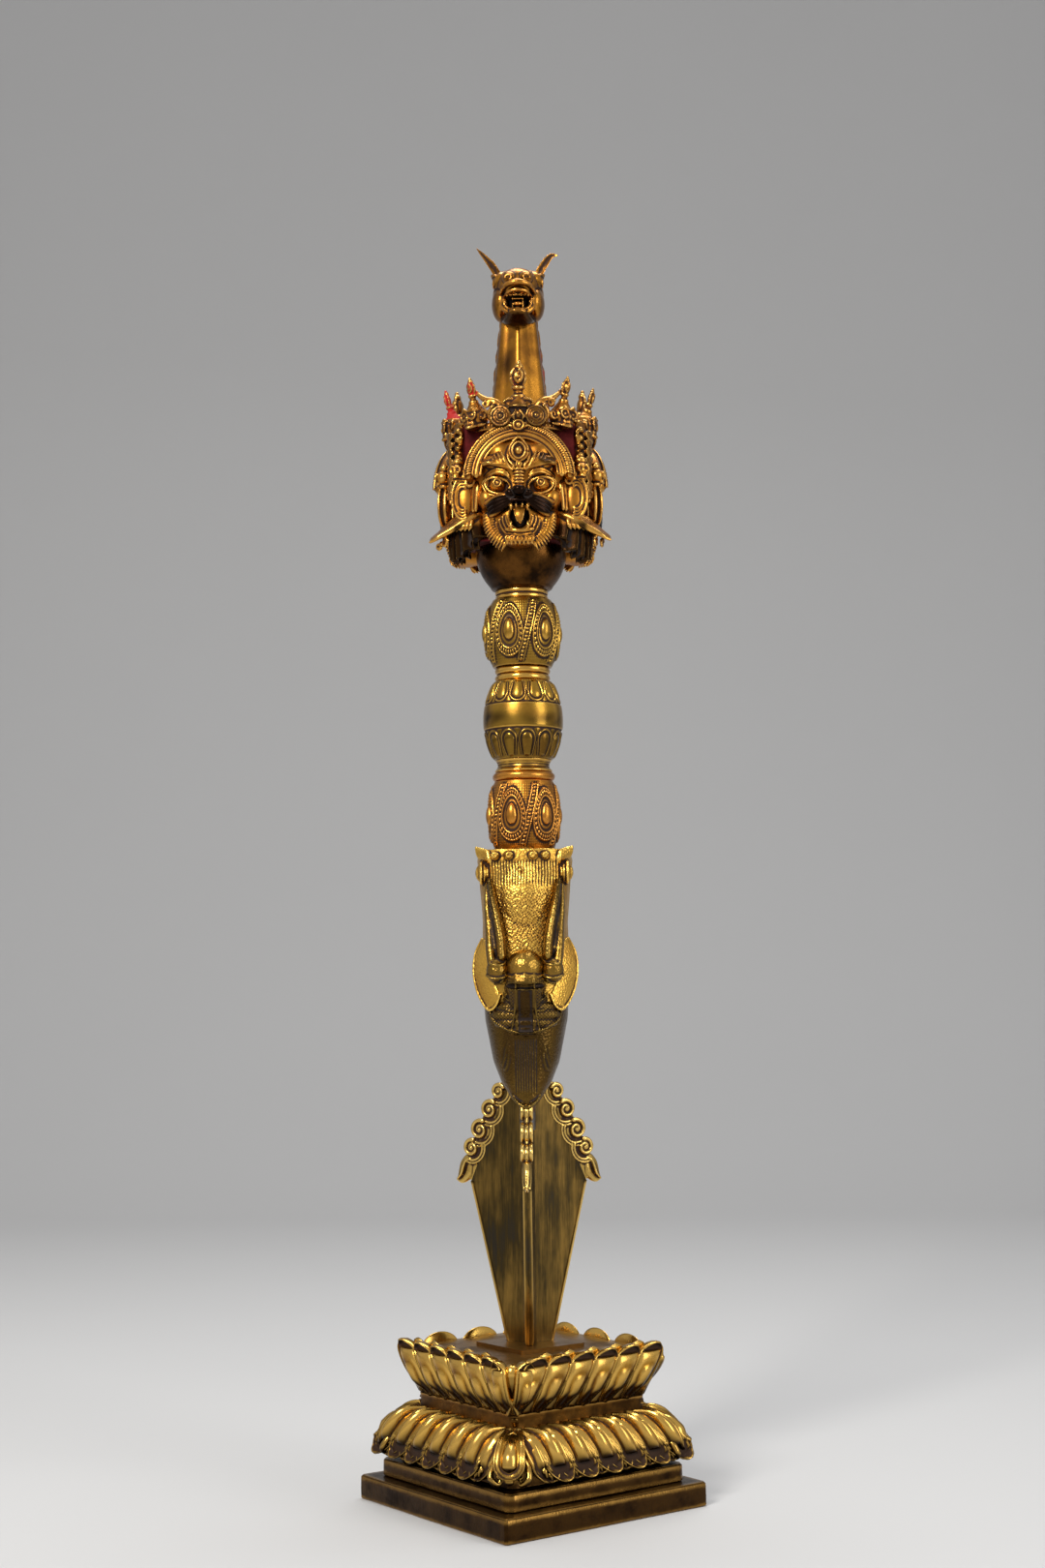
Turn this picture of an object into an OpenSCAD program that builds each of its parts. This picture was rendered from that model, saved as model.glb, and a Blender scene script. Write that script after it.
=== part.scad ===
// Gilt three-faced phurba (ritual dagger) standing point down in its square lotus stand.
// Millimetres, +Z up, front towards -Y. The origin is under the middle of the plinth.
// The dagger is a stack of castings threaded on one core rod. It lifts straight out of the stand.

/* [Stand] */
// Side of the square plinth slab
plinth_side = 120; // [114:1:130]
// Turn of the stand's square about the dagger, in degrees
stand_turn = 38; // [30:1:60]
// Height of the plinth slab
plinth_h = 11.5; // [11:0.5:15]
// Thickness of the web that closes the hollow underside
web_t = 4; // [3:0.5:5]
// Width of the rim round the hollow underside
foot_rim = 30; // [26:1:40]
// Side of the step tier on the slab
step_side = 106; // [102:1:110]
// Height of the step tier
step_h = 8.5; // [6:0.5:11]
// Side of the recessed neck below the lower petals
neck_side = 92; // [90:1:96]
// Height of the recessed neck
neck_h = 8; // [6.5:0.5:10]
// Corner radius of the step, neck and waist
corner_r = 4; // [2:0.5:6]
// Height of the lower lotus casting
lower_lotus_h = 16; // [13:0.5:20]
// How far the lower petals spread past the waist
lower_spread = 14.6; // [13:0.2:17]
// How far the lower petals hang below their casting
lower_hang = 5.5; // [4:0.5:6]
// Lower petals on each side, between the corner petals
lower_petals = 5; // [4:1:6]
// Side of the waist
waist_side = 80; // [76:1:84]
// Height of the waist
waist_h = 8; // [6:0.5:11]
// Height of the upper lotus casting
upper_lotus_h = 20; // [17:0.5:24]
// How far the upper petals spread past the waist
upper_spread = 6.6; // [5:0.2:9]
// How far the upper petals rise above their casting
upper_rise = 6; // [4:0.5:8]
// Upper petals on each side
upper_petals = 6; // [5:1:7]
// How far a petal bulges from its bed
petal_bulge = 3.6; // [2.5:0.1:4.5]
// Wall of the hollow castings at the waist
casting_wall = 10; // [9:0.5:14]
// Thickness of the deck plate
deck_t = 2; // [1.5:0.5:3]

/* [Socket] */
// Side of the socket's square flange on the deck
flange_side = 38; // [36:1:44]
// Thickness of the flange
flange_t = 2; // [1.5:0.5:3]
// Wall outside the blade pocket
sleeve_wall = 3; // [2:0.5:4]
// Clearance round the blade in its pocket
blade_gap = 0.3; // [0.2:0.05:0.5]
// Radius of the stud below the socket
stud_r = 5; // [4:0.5:6]
// Clearance of studs and rods in their holes
hole_gap = 0.15; // [0.1:0.05:0.3]
// Radius of the stand's washer
washer_r = 13; // [11:0.5:15]
// Thickness of the stand's washer
washer_t = 1.2; // [1:0.1:1.6]
// Height of the stand's nut
nut_h = 4.5; // [3.5:0.5:5]

/* [Blade] */
// Length from the point to the shoulders
blade_len = 125.8; // [118:0.2:134]
// Depth of the point below the mouth of the socket
tip_depth = 49.7; // [44:0.1:52]
// Reach of a fin at its shoulder
fin_r = 32.9; // [30:0.1:36]
// Thickness of a fin
fin_t = 3.2; // [2.6:0.1:4]
// Width of the raised rim along a fin's edge
rim_w = 1.8; // [1.2:0.1:2.4]
// How far the rim stands proud of the fin on each face
rim_proud = 0.6; // [0.3:0.1:1]
// Height of the shoulders' seam up to the makara's mouth
seam_h = 48; // [44:0.5:52]
// Reach of a fin at the top of the seam
seam_r = 11; // [10:0.5:12]
// Thickness of the scroll crests
crest_t = 5; // [4:0.1:5.4]
// Radius of a scroll
scroll_r = 3.8; // [3:0.1:4.4]
// How far a scroll's eye stands proud on each face
eye_proud = 0.6; // [0.3:0.1:1]
// Reach of the hook past the shoulder
hook_reach = 8.2; // [6:0.2:10]

/* [Makara] */
// Height of the makara casting, from its lip to its top
makara_h = 127; // [120:1:134]
// Half width of the makara across its top
makara_w = 24.5; // [23:0.5:26]
// Depth of the makara in front of the axis
makara_front = 25; // [24:0.5:27]
// Depth of the makara behind the axis
makara_back = 23; // [21:0.5:25]
// Height of the lip above the shoulders
lip_rise = 36; // [34:0.5:38]
// Radius of the ball at the end of the trunk
trunk_r = 7.9; // [7:0.1:9]
// Radius of the cheek flanges
cheek_r = 11; // [9:0.5:12]
// How far the trunk stands out in front of the casting
trunk_reach = 9; // [7:0.5:12]

/* [Grip] */
// Height of the lower knot bead
low_knot_h = 34.5; // [30:0.5:39]
// Radius of the lower knot bead at its middle
low_knot_r = 18.3; // [17:0.1:20]
// Height of the torus ring
torus_h = 4.6; // [3.6:0.2:6]
// Radius of the torus ring
torus_r = 15.5; // [14.8:0.1:17]
// Height of the lower collar
collar_h = 6.2; // [5:0.2:8]
// Radius of the lower collar
collar_r = 13.5; // [12.5:0.1:14.4]
// Height of the lotus bead
lotus_bead_h = 39; // [35:0.5:43]
// Radius of the lotus bead at its middle
lotus_bead_r = 20.1; // [18.5:0.1:22]
// Height of the double ring
double_ring_h = 7.4; // [6:0.2:9]
// Radius of the double ring
double_ring_r = 13.8; // [13:0.1:14.4]
// Height of the upper knot bead
up_knot_h = 34; // [30:0.5:39]
// Radius of the upper knot bead at its middle
up_knot_r = 19.5; // [18:0.1:21]
// Radius of the beads at their ends
bead_end_r = 14.6; // [14.4:0.1:15.4]
// Height of the upper ring
up_ring_h = 4.8; // [4:0.2:6]
// Radius of the upper ring
up_ring_r = 13.4; // [12.5:0.1:14.4]
// Radius of the core rod
rod_r = 4; // [3:0.5:5]
// Width of the seat left round the hollow of a large casting
hollow_land = 3; // [2:0.5:5]

/* [Head] */
// Height of the neck bowl
cup_h = 21; // [19:0.5:22]
// Radius of the neck bowl at its rim
cup_r = 23; // [21.5:0.1:23.5]
// Height of the three-sided core
core_h = 57.5; // [56:0.5:62]
// Distance from the axis to the faces' seats
seat_r = 24; // [22:0.5:25]
// Radius of the core's corners
core_r = 36; // [35:0.5:38]
// Gap between the diadems and the plate that carries the crowns
crown_gap = 1; // [0.6:0.1:1.6]
// How far the hair curtains hang below the core
curtain_drop = 9.5; // [7:0.5:11]
// Half width of a face, and its height above its centre
face_r = 22.5; // [21:0.5:23.5]
// Height of a face below its centre
face_drop = 32.5; // [29:0.5:33.5]
// Bulge of a face
face_bulge = 13; // [10:0.5:16]
// Width of the diadem round a face
diadem_w = 4.7; // [3.5:0.1:5]
// Thickness of the diadem
diadem_t = 5; // [3.5:0.1:7]
// Half width of an ear disc
ear_w = 5.2; // [4.6:0.1:6]
// Half height of an ear disc
ear_h = 9; // [7.5:0.1:9.4]
// Radius of the knob above an ear
ear_knob_r = 3.8; // [3.2:0.1:4.4]
// Reach of the hair flares from the axis
flare_reach = 52; // [49:0.5:56]
// Thickness of the plate that carries the crowns
crown_plate_t = 1.8; // [1.4:0.1:3]
// Radius of the circle of skulls
skull_circle_r = 34; // [33:0.5:36]
// Half height of the wide middle skull of a crown
skull_r = 6.6; // [5.5:0.1:7.2]
// How far the middle skull hangs below the others
skull_drop = 4.1; // [3:0.1:5]
// Radius of the other skulls
side_skull_r = 5.6; // [4.5:0.1:6.2]
// Height of a crown's middle finial
finial_h = 23; // [20:0.5:25]
// Outward lean of a finial, in degrees
finial_lean = 16; // [8:1:22]

/* [Horse] */
// Height of the horse's neck
horse_neck_h = 60; // [54:1:66]
// Radius of the horse's neck at its foot
neck_foot_r = 17; // [15.5:0.5:18.5]
// Radius of the horse's neck at its top
neck_top_r = 9.2; // [8:0.2:10.4]
// Radius of the horse's poll
poll_r = 12.2; // [11:0.2:13.4]
// Reach of the muzzle in front of the axis
muzzle_reach = 26; // [23:0.5:29]
// Radius of the muzzle
muzzle_r = 8; // [7:0.1:9]
// Length of an ear
horse_ear_l = 19; // [15:0.5:23]

/* [Hidden] */
$fn = 64;

eps = 0.01;
seat_gap = 0.2;
gilt = "goldenrod";
old_gilt = "darkgoldenrod";
dark = "saddlebrown";
iron = "dimgray";

// Levels of the stand
z_step = plinth_h;
z_neck = z_step + step_h;
z_lower = z_neck + neck_h;
z_waist = z_lower + lower_lotus_h;
z_upper = z_waist + waist_h;
z_deck = z_upper + upper_lotus_h;
z_flange = z_deck + deck_t;
z_mouth = z_flange + flange_t;
web_z = plinth_h - web_t;
hollow_side = waist_side - 2 * casting_wall;
petal_turn = 115;

// Blade and its pocket
z_tip = z_mouth - tip_depth;
z_shoulder = z_tip + blade_len;
edge_angle = atan(fin_r / blade_len);
entry_r = tip_depth * tan(edge_angle);
pocket_drop = blade_gap / sin(edge_angle);
pocket_bore_r = fin_t * 0.7 + 2 * blade_gap;
sleeve_r = entry_r + blade_gap / cos(edge_angle) + sleeve_wall;
sleeve_end = z_tip - pocket_drop - sleeve_wall;
z_seam = z_shoulder + seam_h;
fin_top = z_seam + 6;
hub_r = rod_r + 3.2;
rod_foot = fin_top - 28;
seam_len = norm([fin_r - seam_r, seam_h]);
seam_tilt = atan((fin_r - seam_r) / seam_h);

// Levels of the dagger
z_makara = z_shoulder + lip_rise;
z_knot_low = z_makara + makara_h;
z_torus = z_knot_low + low_knot_h;
z_collar = z_torus + torus_h;
z_lotus_bead = z_collar + collar_h;
z_double = z_lotus_bead + lotus_bead_h;
z_knot_up = z_double + double_ring_h;
z_up_ring = z_knot_up + up_knot_h;
z_cup = z_up_ring + up_ring_h;
z_core = z_cup + cup_h;
z_plate = z_core + core_h;
diadem_inner = face_r + 0.3;
z_face = z_plate - crown_gap - diadem_w - diadem_inner;
z_crown = z_plate + crown_plate_t;
z_horse = z_crown + horse_neck_h;
plate_r = skull_circle_r - 6;
band_h = 3.6;
nut_room_r = rod_r + 6.2;
nut_room_h = 24;
head_washer_r = rod_r + 4.6;
head_nut_h = 6;
rod_top = z_crown + nut_room_h + 9;
turn = 120;

// Closed solid through rings that all have the same number of points
module loft(rings) {
  n = len(rings[0]);
  m = len(rings);
  points = concat([for (r = rings) each r], [mean(rings[0]), mean(rings[m - 1])]);
  sides = [for (i = [0 : m - 2], j = [0 : n - 1])
    let (a = i * n + j, b = i * n + (j + 1) % n)
    each [[a, b + n, b], [a, a + n, b + n]]];
  first = [for (j = [0 : n - 1]) [m * n, j, (j + 1) % n]];
  last = [for (j = [0 : n - 1]) [m * n + 1, (m - 1) * n + (j + 1) % n, (m - 1) * n + j]];
  polyhedron(points, concat(sides, first, last));
}

function mean(points) = [for (k = [0 : 2]) sum([for (p = points) p[k]]) / len(points)];
function sum(list, i = 0) = i < len(list) ? list[i] + sum(list, i + 1) : 0;
function bump(d, width) = exp(-pow(d / width, 2));

// Square tier with rounded vertical corners
module tier(side, h, r = corner_r) {
  linear_extrude(h) rounded_square(side, r);
}

module rounded_square(side, r) {
  square([side - 2 * r, side], center = true);
  square([side, side - 2 * r], center = true);
  for (x = [-1, 1], y = [-1, 1])
    translate([x, y] * (side / 2 - r)) circle(r);
}

// The stand's corner faces the front, a little to the left of the middle fin
module on_stand() {
  rotate(stand_turn) children();
}

module round_ring(r, h, hole) {
  difference() {
    cylinder(r = r, h = h);
    translate([0, 0, -1]) cylinder(r = hole, h = h + 2);
  }
}

module hex_nut(across, h, hole) {
  difference() {
    cylinder(r = across, h = h, $fn = 6);
    translate([0, 0, -1]) cylinder(r = hole, h = h + 2);
  }
}

// A petal bulges outward along +X while it climbs by rise, which may be negative
function petal_width(s) =
  s < 0.62 ? 0.62 + 0.38 * sin(90 * s / 0.62) : sqrt(1 - pow((s - 0.62) / 0.4, 2));

function petal_ring(s, start, side_at, rise, spread, width) =
  let (w = width * petal_width(s) / 2,
    out = start + spread * sin(petal_turn * s),
    mid = side_at * out / start,
    bulge = petal_bulge * petal_width(s))
  concat(
    [for (a = [0 : 60 : 180]) [out + bulge * sin(a), mid - w * cos(a), rise * s]],
    [[out - 2.4, mid + 0.8 * w, rise * s], [out - 2.4, mid - 0.8 * w, rise * s]]);

module petal(start, side_at, rise, spread, width) {
  rings = [for (s = [0, 0.32, 0.62, 0.84, 0.98])
    petal_ring(s, start, side_at, rise, spread, width)];
  loft(rise > 0 ? rings : [for (i = [len(rings) - 1 : -1 : 0]) rings[i]]);
}

// The tip of the petal behind, which shows between two front petals
module back_tip(start, side_at, rise, spread, width) {
  out = start + spread * sin(petal_turn * 0.9);
  translate([out - 1.6, side_at * out / start, rise])
    hull() {
      scale([0.5, 1, 0.7]) sphere(width * 0.32, $fn = 6);
      translate([-1, 0, -rise * 0.35]) scale([0.4, 1, 0.5]) sphere(width * 0.42, $fn = 6);
    }
}

module petal_side(count, start, rise, spread, width, shift) {
  pitch = width / count;
  for (i = [0 : count - 1])
    petal(start, (i + 0.5 - count / 2) * pitch, rise, spread, pitch * start / (start - spread) * 1.1);
  for (i = [0 : count - 2])
    back_tip(start, (i + 1 - count / 2) * pitch, rise + shift, spread, pitch);
}

// Body of a lotus tier behind its petals, from one square to another and on to a third
module lotus_bed(low, middle, high, h) {
  $fn = 12;
  hull() {
    tier(low, eps);
    translate([0, 0, h / 2]) tier(middle, eps);
  }
  hull() {
    translate([0, 0, h / 2]) tier(middle, eps);
    translate([0, 0, h - eps]) tier(high, eps);
  }
}

// Stand

module plinth() {
  color(old_gilt) on_stand()
    difference() {
      tier(plinth_side, plinth_h, 1);
      translate([0, 0, -eps]) tier(plinth_side - 2 * foot_rim, web_z + eps, 3);
      cylinder(r = stud_r + hole_gap, h = plinth_h + 1);
    }
}

module step_tier() {
  color(old_gilt) translate([0, 0, z_step]) on_stand()
    difference() {
      union() {
        tier(step_side, step_h);
        translate([0, 0, step_h - eps]) tier(neck_side, neck_h + eps);
      }
      translate([0, 0, -1]) tier(hollow_side, step_h + neck_h + 2);
    }
}

module lower_lotus() {
  side = waist_side + 2 * lower_spread;
  start = waist_side / 2;
  corner = start * sqrt(2) - corner_r * (sqrt(2) - 1);
  drop = lower_lotus_h + lower_hang;
  color(gilt) translate([0, 0, z_lower]) on_stand()
    difference() {
      union() {
        lotus_bed(side - 12, side - 16, waist_side, lower_lotus_h);
        for (k = [0 : 3]) rotate(90 * k) {
          translate([0, 0, lower_lotus_h])
            petal_side(lower_petals, start, -drop, lower_spread, waist_side * 0.8, 2);
          translate([0, 0, lower_lotus_h]) rotate(45)
            petal(corner, 0, -drop, lower_spread * 1.35, waist_side / lower_petals);
        }
      }
      translate([0, 0, -drop]) tier(hollow_side, 2 * drop + lower_lotus_h);
      translate([0, 0, -20 - lower_hang]) tier(2 * side, 20, 1);
    }
}

module waist() {
  color(old_gilt) translate([0, 0, z_waist]) on_stand()
    difference() {
      tier(waist_side, waist_h);
      translate([0, 0, -1]) tier(hollow_side, waist_h + 2);
    }
}

module upper_lotus() {
  side = waist_side + 2 * upper_spread;
  start = waist_side / 2;
  rise = upper_lotus_h + upper_rise;
  color(gilt) translate([0, 0, z_upper]) on_stand()
    difference() {
      union() {
        lotus_bed(waist_side - 1, side - 6, side - 4, upper_lotus_h + deck_t * 0.6);
        for (k = [0 : 3]) rotate(90 * k)
          petal_side(upper_petals, start, rise, upper_spread, waist_side, 1);
      }
      translate([0, 0, -1]) tier(hollow_side, rise + 5);
      translate([0, 0, upper_lotus_h]) tier(side - 9 + 2 * seat_gap, rise, 2);
    }
}

module deck_plate() {
  color(old_gilt) translate([0, 0, z_deck]) on_stand()
    difference() {
      tier(waist_side + 2 * upper_spread - 9, deck_t, 2);
      translate([0, 0, -1]) cylinder(r = sleeve_r + hole_gap, h = deck_t + 2);
    }
}

// Outline of a fin below the shoulder, from the point upward
module fin_wedge(up) {
  polygon([[0, 0], [up * tan(edge_angle), up], [-fin_t / 2, up], [-fin_t / 2, 0]]);
}

// Stands a drawing of reach and height in the plane of the fin numbered k
module in_fin(k, t) {
  rotate(turn * k - 90) translate([0, t / 2, 0]) rotate([90, 0, 0]) linear_extrude(t) children();
}

module blade_socket() {
  stud_end = web_z - washer_t - nut_h - 0.4;
  color(old_gilt)
    difference() {
      union() {
        translate([0, 0, z_flange]) on_stand() tier(flange_side, flange_t, 1);
        translate([0, 0, sleeve_end]) cylinder(r = sleeve_r, h = z_flange - sleeve_end + eps);
        translate([0, 0, stud_end]) cylinder(r = stud_r, h = sleeve_end - stud_end + eps);
      }
      for (k = [0 : 2])
        in_fin(k, fin_t + 2 * blade_gap)
          translate([0, z_tip - pocket_drop]) fin_wedge(tip_depth + pocket_drop + 5);
      translate([0, 0, z_tip - pocket_drop - blade_gap]) cylinder(r = pocket_bore_r, h = tip_depth + 9);
    }
}

module stand_washer() {
  color(iron) translate([0, 0, web_z - washer_t])
    round_ring(washer_r, washer_t, stud_r + hole_gap);
}

module stand_nut() {
  color(iron) translate([0, 0, web_z - washer_t - nut_h])
    hex_nut(stud_r * 1.9, nut_h, stud_r + hole_gap / 3);
}

// Dagger

module blade() {
  rim_foot = tip_depth + 2;
  color(dark)
    difference() {
      union() {
        for (k = [0 : 2]) {
          in_fin(k, fin_t) {
            translate([0, z_tip]) fin_wedge(blade_len);
            polygon([[-fin_t / 2, z_shoulder - eps], [fin_r, z_shoulder - eps], [fin_r, z_shoulder],
              [seam_r, z_seam], [hub_r, fin_top], [-fin_t / 2, fin_top]]);
          }
          in_fin(k, fin_t + 2 * rim_proud)
            polygon([[rim_foot * tan(edge_angle) - rim_w, z_tip + rim_foot],
              [rim_foot * tan(edge_angle), z_tip + rim_foot],
              [fin_r, z_shoulder], [fin_r - rim_w, z_shoulder]]);
        }
        translate([0, 0, rod_foot - 6]) cylinder(r = hub_r, h = fin_top - rod_foot + 6);
      }
      translate([0, 0, rod_foot - 0.3]) cylinder(r = rod_r + hole_gap, h = blade_len);
    }
}

// Scrolls along the seam: share of the seam's length from the shoulder, and distance out of it
SCROLLS = [[0.29, 5.4], [0.48, 4], [0.67, 2.4], [0.9, 2.2]];

// Crest outline in the fin's plane, drawn with the shoulder at the origin and the seam up +Y
module crest_outline() {
  tip = [hook_reach, -1.6];
  band = [for (s = SCROLLS) [s[1] + scroll_r * 0.4, s[0] * seam_len]];
  polygon(concat([[0, seam_len * 0.96], [0, 0]],
    [for (a = [0 : 15 : 60]) [tip[0] * sin(a * 1.5), tip[1] + 4.2 * (1 - cos(a * 1.5))] + [0.2, 0]],
    [tip + [0.9, 0.4]],
    [for (a = [0 : 20 : 80]) tip + [0.9, 0.4] + [-3.2 * (1 - cos(a)), seam_len * 0.17 * sin(a)]],
    band));
  for (s = SCROLLS)
    translate([s[1], s[0] * seam_len]) circle(scroll_r);
}

module crest(k) {
  color(gilt)
    difference() {
      union() {
        in_fin(k, crest_t)
          translate([fin_r, z_shoulder]) rotate(seam_tilt) crest_outline();
        in_fin(k, crest_t + 2 * eye_proud)
          translate([fin_r, z_shoulder]) rotate(seam_tilt)
            for (s = SCROLLS) translate([s[1], s[0] * seam_len]) circle(scroll_r * 0.45);
      }
      in_fin(k, 2 * crest_t)
        polygon([[0, 0], [fin_r, 0], [fin_r, z_shoulder], [seam_r, z_seam], [0, z_seam + seam_r]]);
    }
}

module crest_front() { crest(0); }
module crest_right() { crest(1); }
module crest_left() { crest(2); }

module core_rod() {
  color(iron) translate([0, 0, rod_foot]) cylinder(r = rod_r, h = rod_top - rod_foot);
}

// Sections of the makara: share of its height, of its half width, of its front and of its back
MAKARA = [[0, 0.1, 0.92, -0.8], [0.04, 0.32, 0.96, -0.3], [0.1, 0.5, 0.98, 0.3],
  [0.18, 0.68, 1, 0.68], [0.34, 0.84, 1.03, 0.9], [0.52, 0.9, 1.02, 0.97],
  [0.72, 0.9, 0.94, 0.98], [0.88, 0.96, 0.88, 1], [0.97, 1, 0.85, 1], [1, 0.94, 0.82, 0.94]];

function soft_power(v, p) = sign(v) * pow(abs(v), p);

// One section, a rounded box that reaches from front to back
function makara_ring(row, grow) =
  let (a = makara_w * row[1] + grow, f = makara_front * row[2] + grow,
    b = makara_back * row[3] + grow, mid = (b - f) / 2, d = (b + f) / 2)
  [for (i = [0 : 19]) let (t = 18 * i)
    [a * soft_power(cos(t), 0.72), mid + d * soft_power(sin(t), 0.72), makara_h * row[0]]];

module makara_body(grow = 0) {
  translate([0, 0, z_makara]) loft([for (row = MAKARA) makara_ring(row, grow)]);
}

module makara_head() {
  room = crest_t / 2 + eye_proud + seat_gap;
  reach = seam_r + 2 * scroll_r + 2;
  scroll = SCROLLS[2];
  notch_h = scroll[0] * seam_h + scroll[1] * sin(seam_tilt) + scroll_r + seat_gap;
  color(gilt)
    difference() {
      makara_body();
      translate([0, 0, z_shoulder]) cylinder(r = hub_r + seat_gap, h = fin_top - z_shoulder + seat_gap);
      translate([0, 0, fin_top]) cylinder(r = rod_r + hole_gap, h = makara_h);
      translate([0, 0, fin_top + 12]) cylinder(r = bead_end_r - hollow_land, h = makara_h);
      for (k = [0 : 2])
        rotate(turn * k - 90)
          translate([0, -room, z_shoulder])
            cube([k == 0 ? reach : 2 * makara_w, 2 * room, fin_top - z_shoulder + seat_gap]);
      rotate(-90) translate([0, -room, z_shoulder]) cube([2 * makara_front, 2 * room, notch_h]);
    }
}

module makara_trunk() {
  y = -makara_front - trunk_reach + trunk_r;
  z = z_makara + makara_h * 0.555;
  color(gilt)
    difference() {
      union() {
        translate([0, y, z]) sphere(trunk_r);
        hull() {
          translate([0, y + 1, z]) sphere(trunk_r * 0.94, $fn = 14);
          translate([0, y + 7, z - makara_h * 0.16]) scale([1.9, 0.9, 1]) sphere(trunk_r, $fn = 14);
        }
      }
      makara_body(seat_gap);
    }
}

// Brow horns that end in rounded lumps, and the scroll balls at the top corners
module makara_horns() {
  top = [makara_w * 0.74, -makara_front * 0.86, z_makara + makara_h * 0.87];
  foot = [makara_w * 0.6, -makara_front * 0.99, z_makara + makara_h * 0.53];
  color(gilt)
    difference() {
      for (x = [-1, 1]) {
        hull() {
          translate([x * top[0], top[1], top[2]]) sphere(2.2, $fn = 10);
          translate([x * foot[0], foot[1], foot[2]]) sphere(3, $fn = 10);
        }
        translate([x * foot[0], foot[1], foot[2]]) sphere(5, $fn = 14);
        translate([x * makara_w, -makara_front * 0.42, z_makara + makara_h * 0.915])
          sphere(4.4, $fn = 12);
      }
      makara_body(seat_gap);
    }
}

// Leaf-shaped cheek flanges at the sides of the jaw
module makara_cheeks() {
  color(gilt)
    difference() {
      for (x = [-1, 1])
        translate([x * makara_w * 0.88, -makara_front * 0.38, z_makara + makara_h * 0.52])
          rotate([0, x * 6, 0]) scale([0.36, 1, 1.5]) sphere(cheek_r);
      makara_body(seat_gap);
    }
}

// Barrel outline, a circular arc through both ends
module barrel(h, r_mid, r_end) {
  d = r_mid - r_end;
  arc_r = (h * h / 4 + d * d) / (2 * d);
  intersection() {
    translate([0, 0]) square([r_mid + 1, h]);
    translate([r_mid - arc_r, h / 2]) circle(arc_r, $fn = 180);
  }
}

module bore(h) {
  translate([0, 0, -1]) cylinder(r = rod_r + hole_gap, h = h + 2);
}

// Barrel bead with drop-shaped cabochons round its middle
module knot_bead(h, r_mid, count) {
  difference() {
    union() {
      rotate_extrude() barrel(h, r_mid - 0.8, bead_end_r);
      for (i = [0 : count - 1])
        rotate(360 / count * i - 90) translate([r_mid - 2.3, 0, h * 0.49]) {
          sphere(3.4);
          translate([1.2, 0, 0]) rotate([0, 90, 0]) torus(5.8, 0.8);
        }
    }
    bore(h);
  }
}

module lower_knot_bead() {
  color("peru") translate([0, 0, z_knot_low]) knot_bead(low_knot_h, low_knot_r, 6);
}

module upper_knot_bead() {
  color(gilt) translate([0, 0, z_knot_up]) knot_bead(up_knot_h, up_knot_r, 6);
}

module torus_ring() {
  color(gilt) translate([0, 0, z_torus])
    difference() {
      rotate_extrude() {
        square([torus_r - torus_h / 2, torus_h]);
        translate([torus_r - torus_h / 2, torus_h / 2]) circle(torus_h / 2);
      }
      bore(torus_h);
    }
}

// Concave collar with a thin ridge at the top
module lower_collar() {
  color(gilt) translate([0, 0, z_collar])
    difference() {
      rotate_extrude()
        difference() {
          square([collar_r + 0.6, collar_h]);
          translate([collar_r + 4.2, collar_h * 0.42]) circle(collar_h * 0.86);
        }
      bore(collar_h);
    }
}

// Bead with a smooth middle band between two grooves
module lotus_bead() {
  groove = 0.7;
  color(gilt) translate([0, 0, z_lotus_bead])
    difference() {
      rotate_extrude()
        difference() {
          barrel(lotus_bead_h, lotus_bead_r, bead_end_r);
          for (s = [0.36, 0.68])
            translate([lotus_bead_r - 0.25, s * lotus_bead_h]) circle(groove);
        }
      bore(lotus_bead_h);
    }
}

module double_ring() {
  ridge = double_ring_h / 4;
  color(gilt) translate([0, 0, z_double])
    difference() {
      rotate_extrude() {
        square([double_ring_r - ridge, double_ring_h]);
        for (s = [1, 3])
          translate([double_ring_r - ridge, s * ridge]) circle(ridge - eps);
      }
      bore(double_ring_h);
    }
}

module upper_ring() {
  color(gilt) translate([0, 0, z_up_ring])
    difference() {
      rotate_extrude()
        difference() {
          square([up_ring_r, up_ring_h]);
          translate([up_ring_r + 0.3, up_ring_h / 2]) circle(0.9);
        }
      bore(up_ring_h);
    }
}

// Bowl that opens under the head and narrows to the upper ring
module neck_cup() {
  narrow = up_ring_r / cup_r;
  deep = cup_h / sqrt(1 - narrow * narrow);
  color(dark) translate([0, 0, z_cup])
    difference() {
      rotate_extrude()
        intersection() {
          square([cup_r + 2, cup_h]);
          translate([0, cup_h]) scale([1, deep / cup_r]) circle(cup_r, $fn = 128);
        }
      bore(cup_h);
    }
}

// Three flat seats for the faces, rounded corners, and the crowns' plate above
module head_core() {
  color("firebrick") translate([0, 0, z_core])
    difference() {
      union() {
        intersection() {
          cylinder(r = core_r, h = core_h + eps);
          rotate(-30) cylinder(r = 2 * seat_r, h = core_h + eps, $fn = 3);
        }
        translate([0, 0, core_h]) cylinder(r = plate_r, h = crown_plate_t);
      }
      bore(core_h + crown_plate_t);
      translate([0, 0, -1]) cylinder(r = cup_r - hollow_land, h = core_h - 6 + 1);
    }
}

module on_face(k) {
  rotate(turn * k) translate([0, 0, z_face]) children();
}

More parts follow.
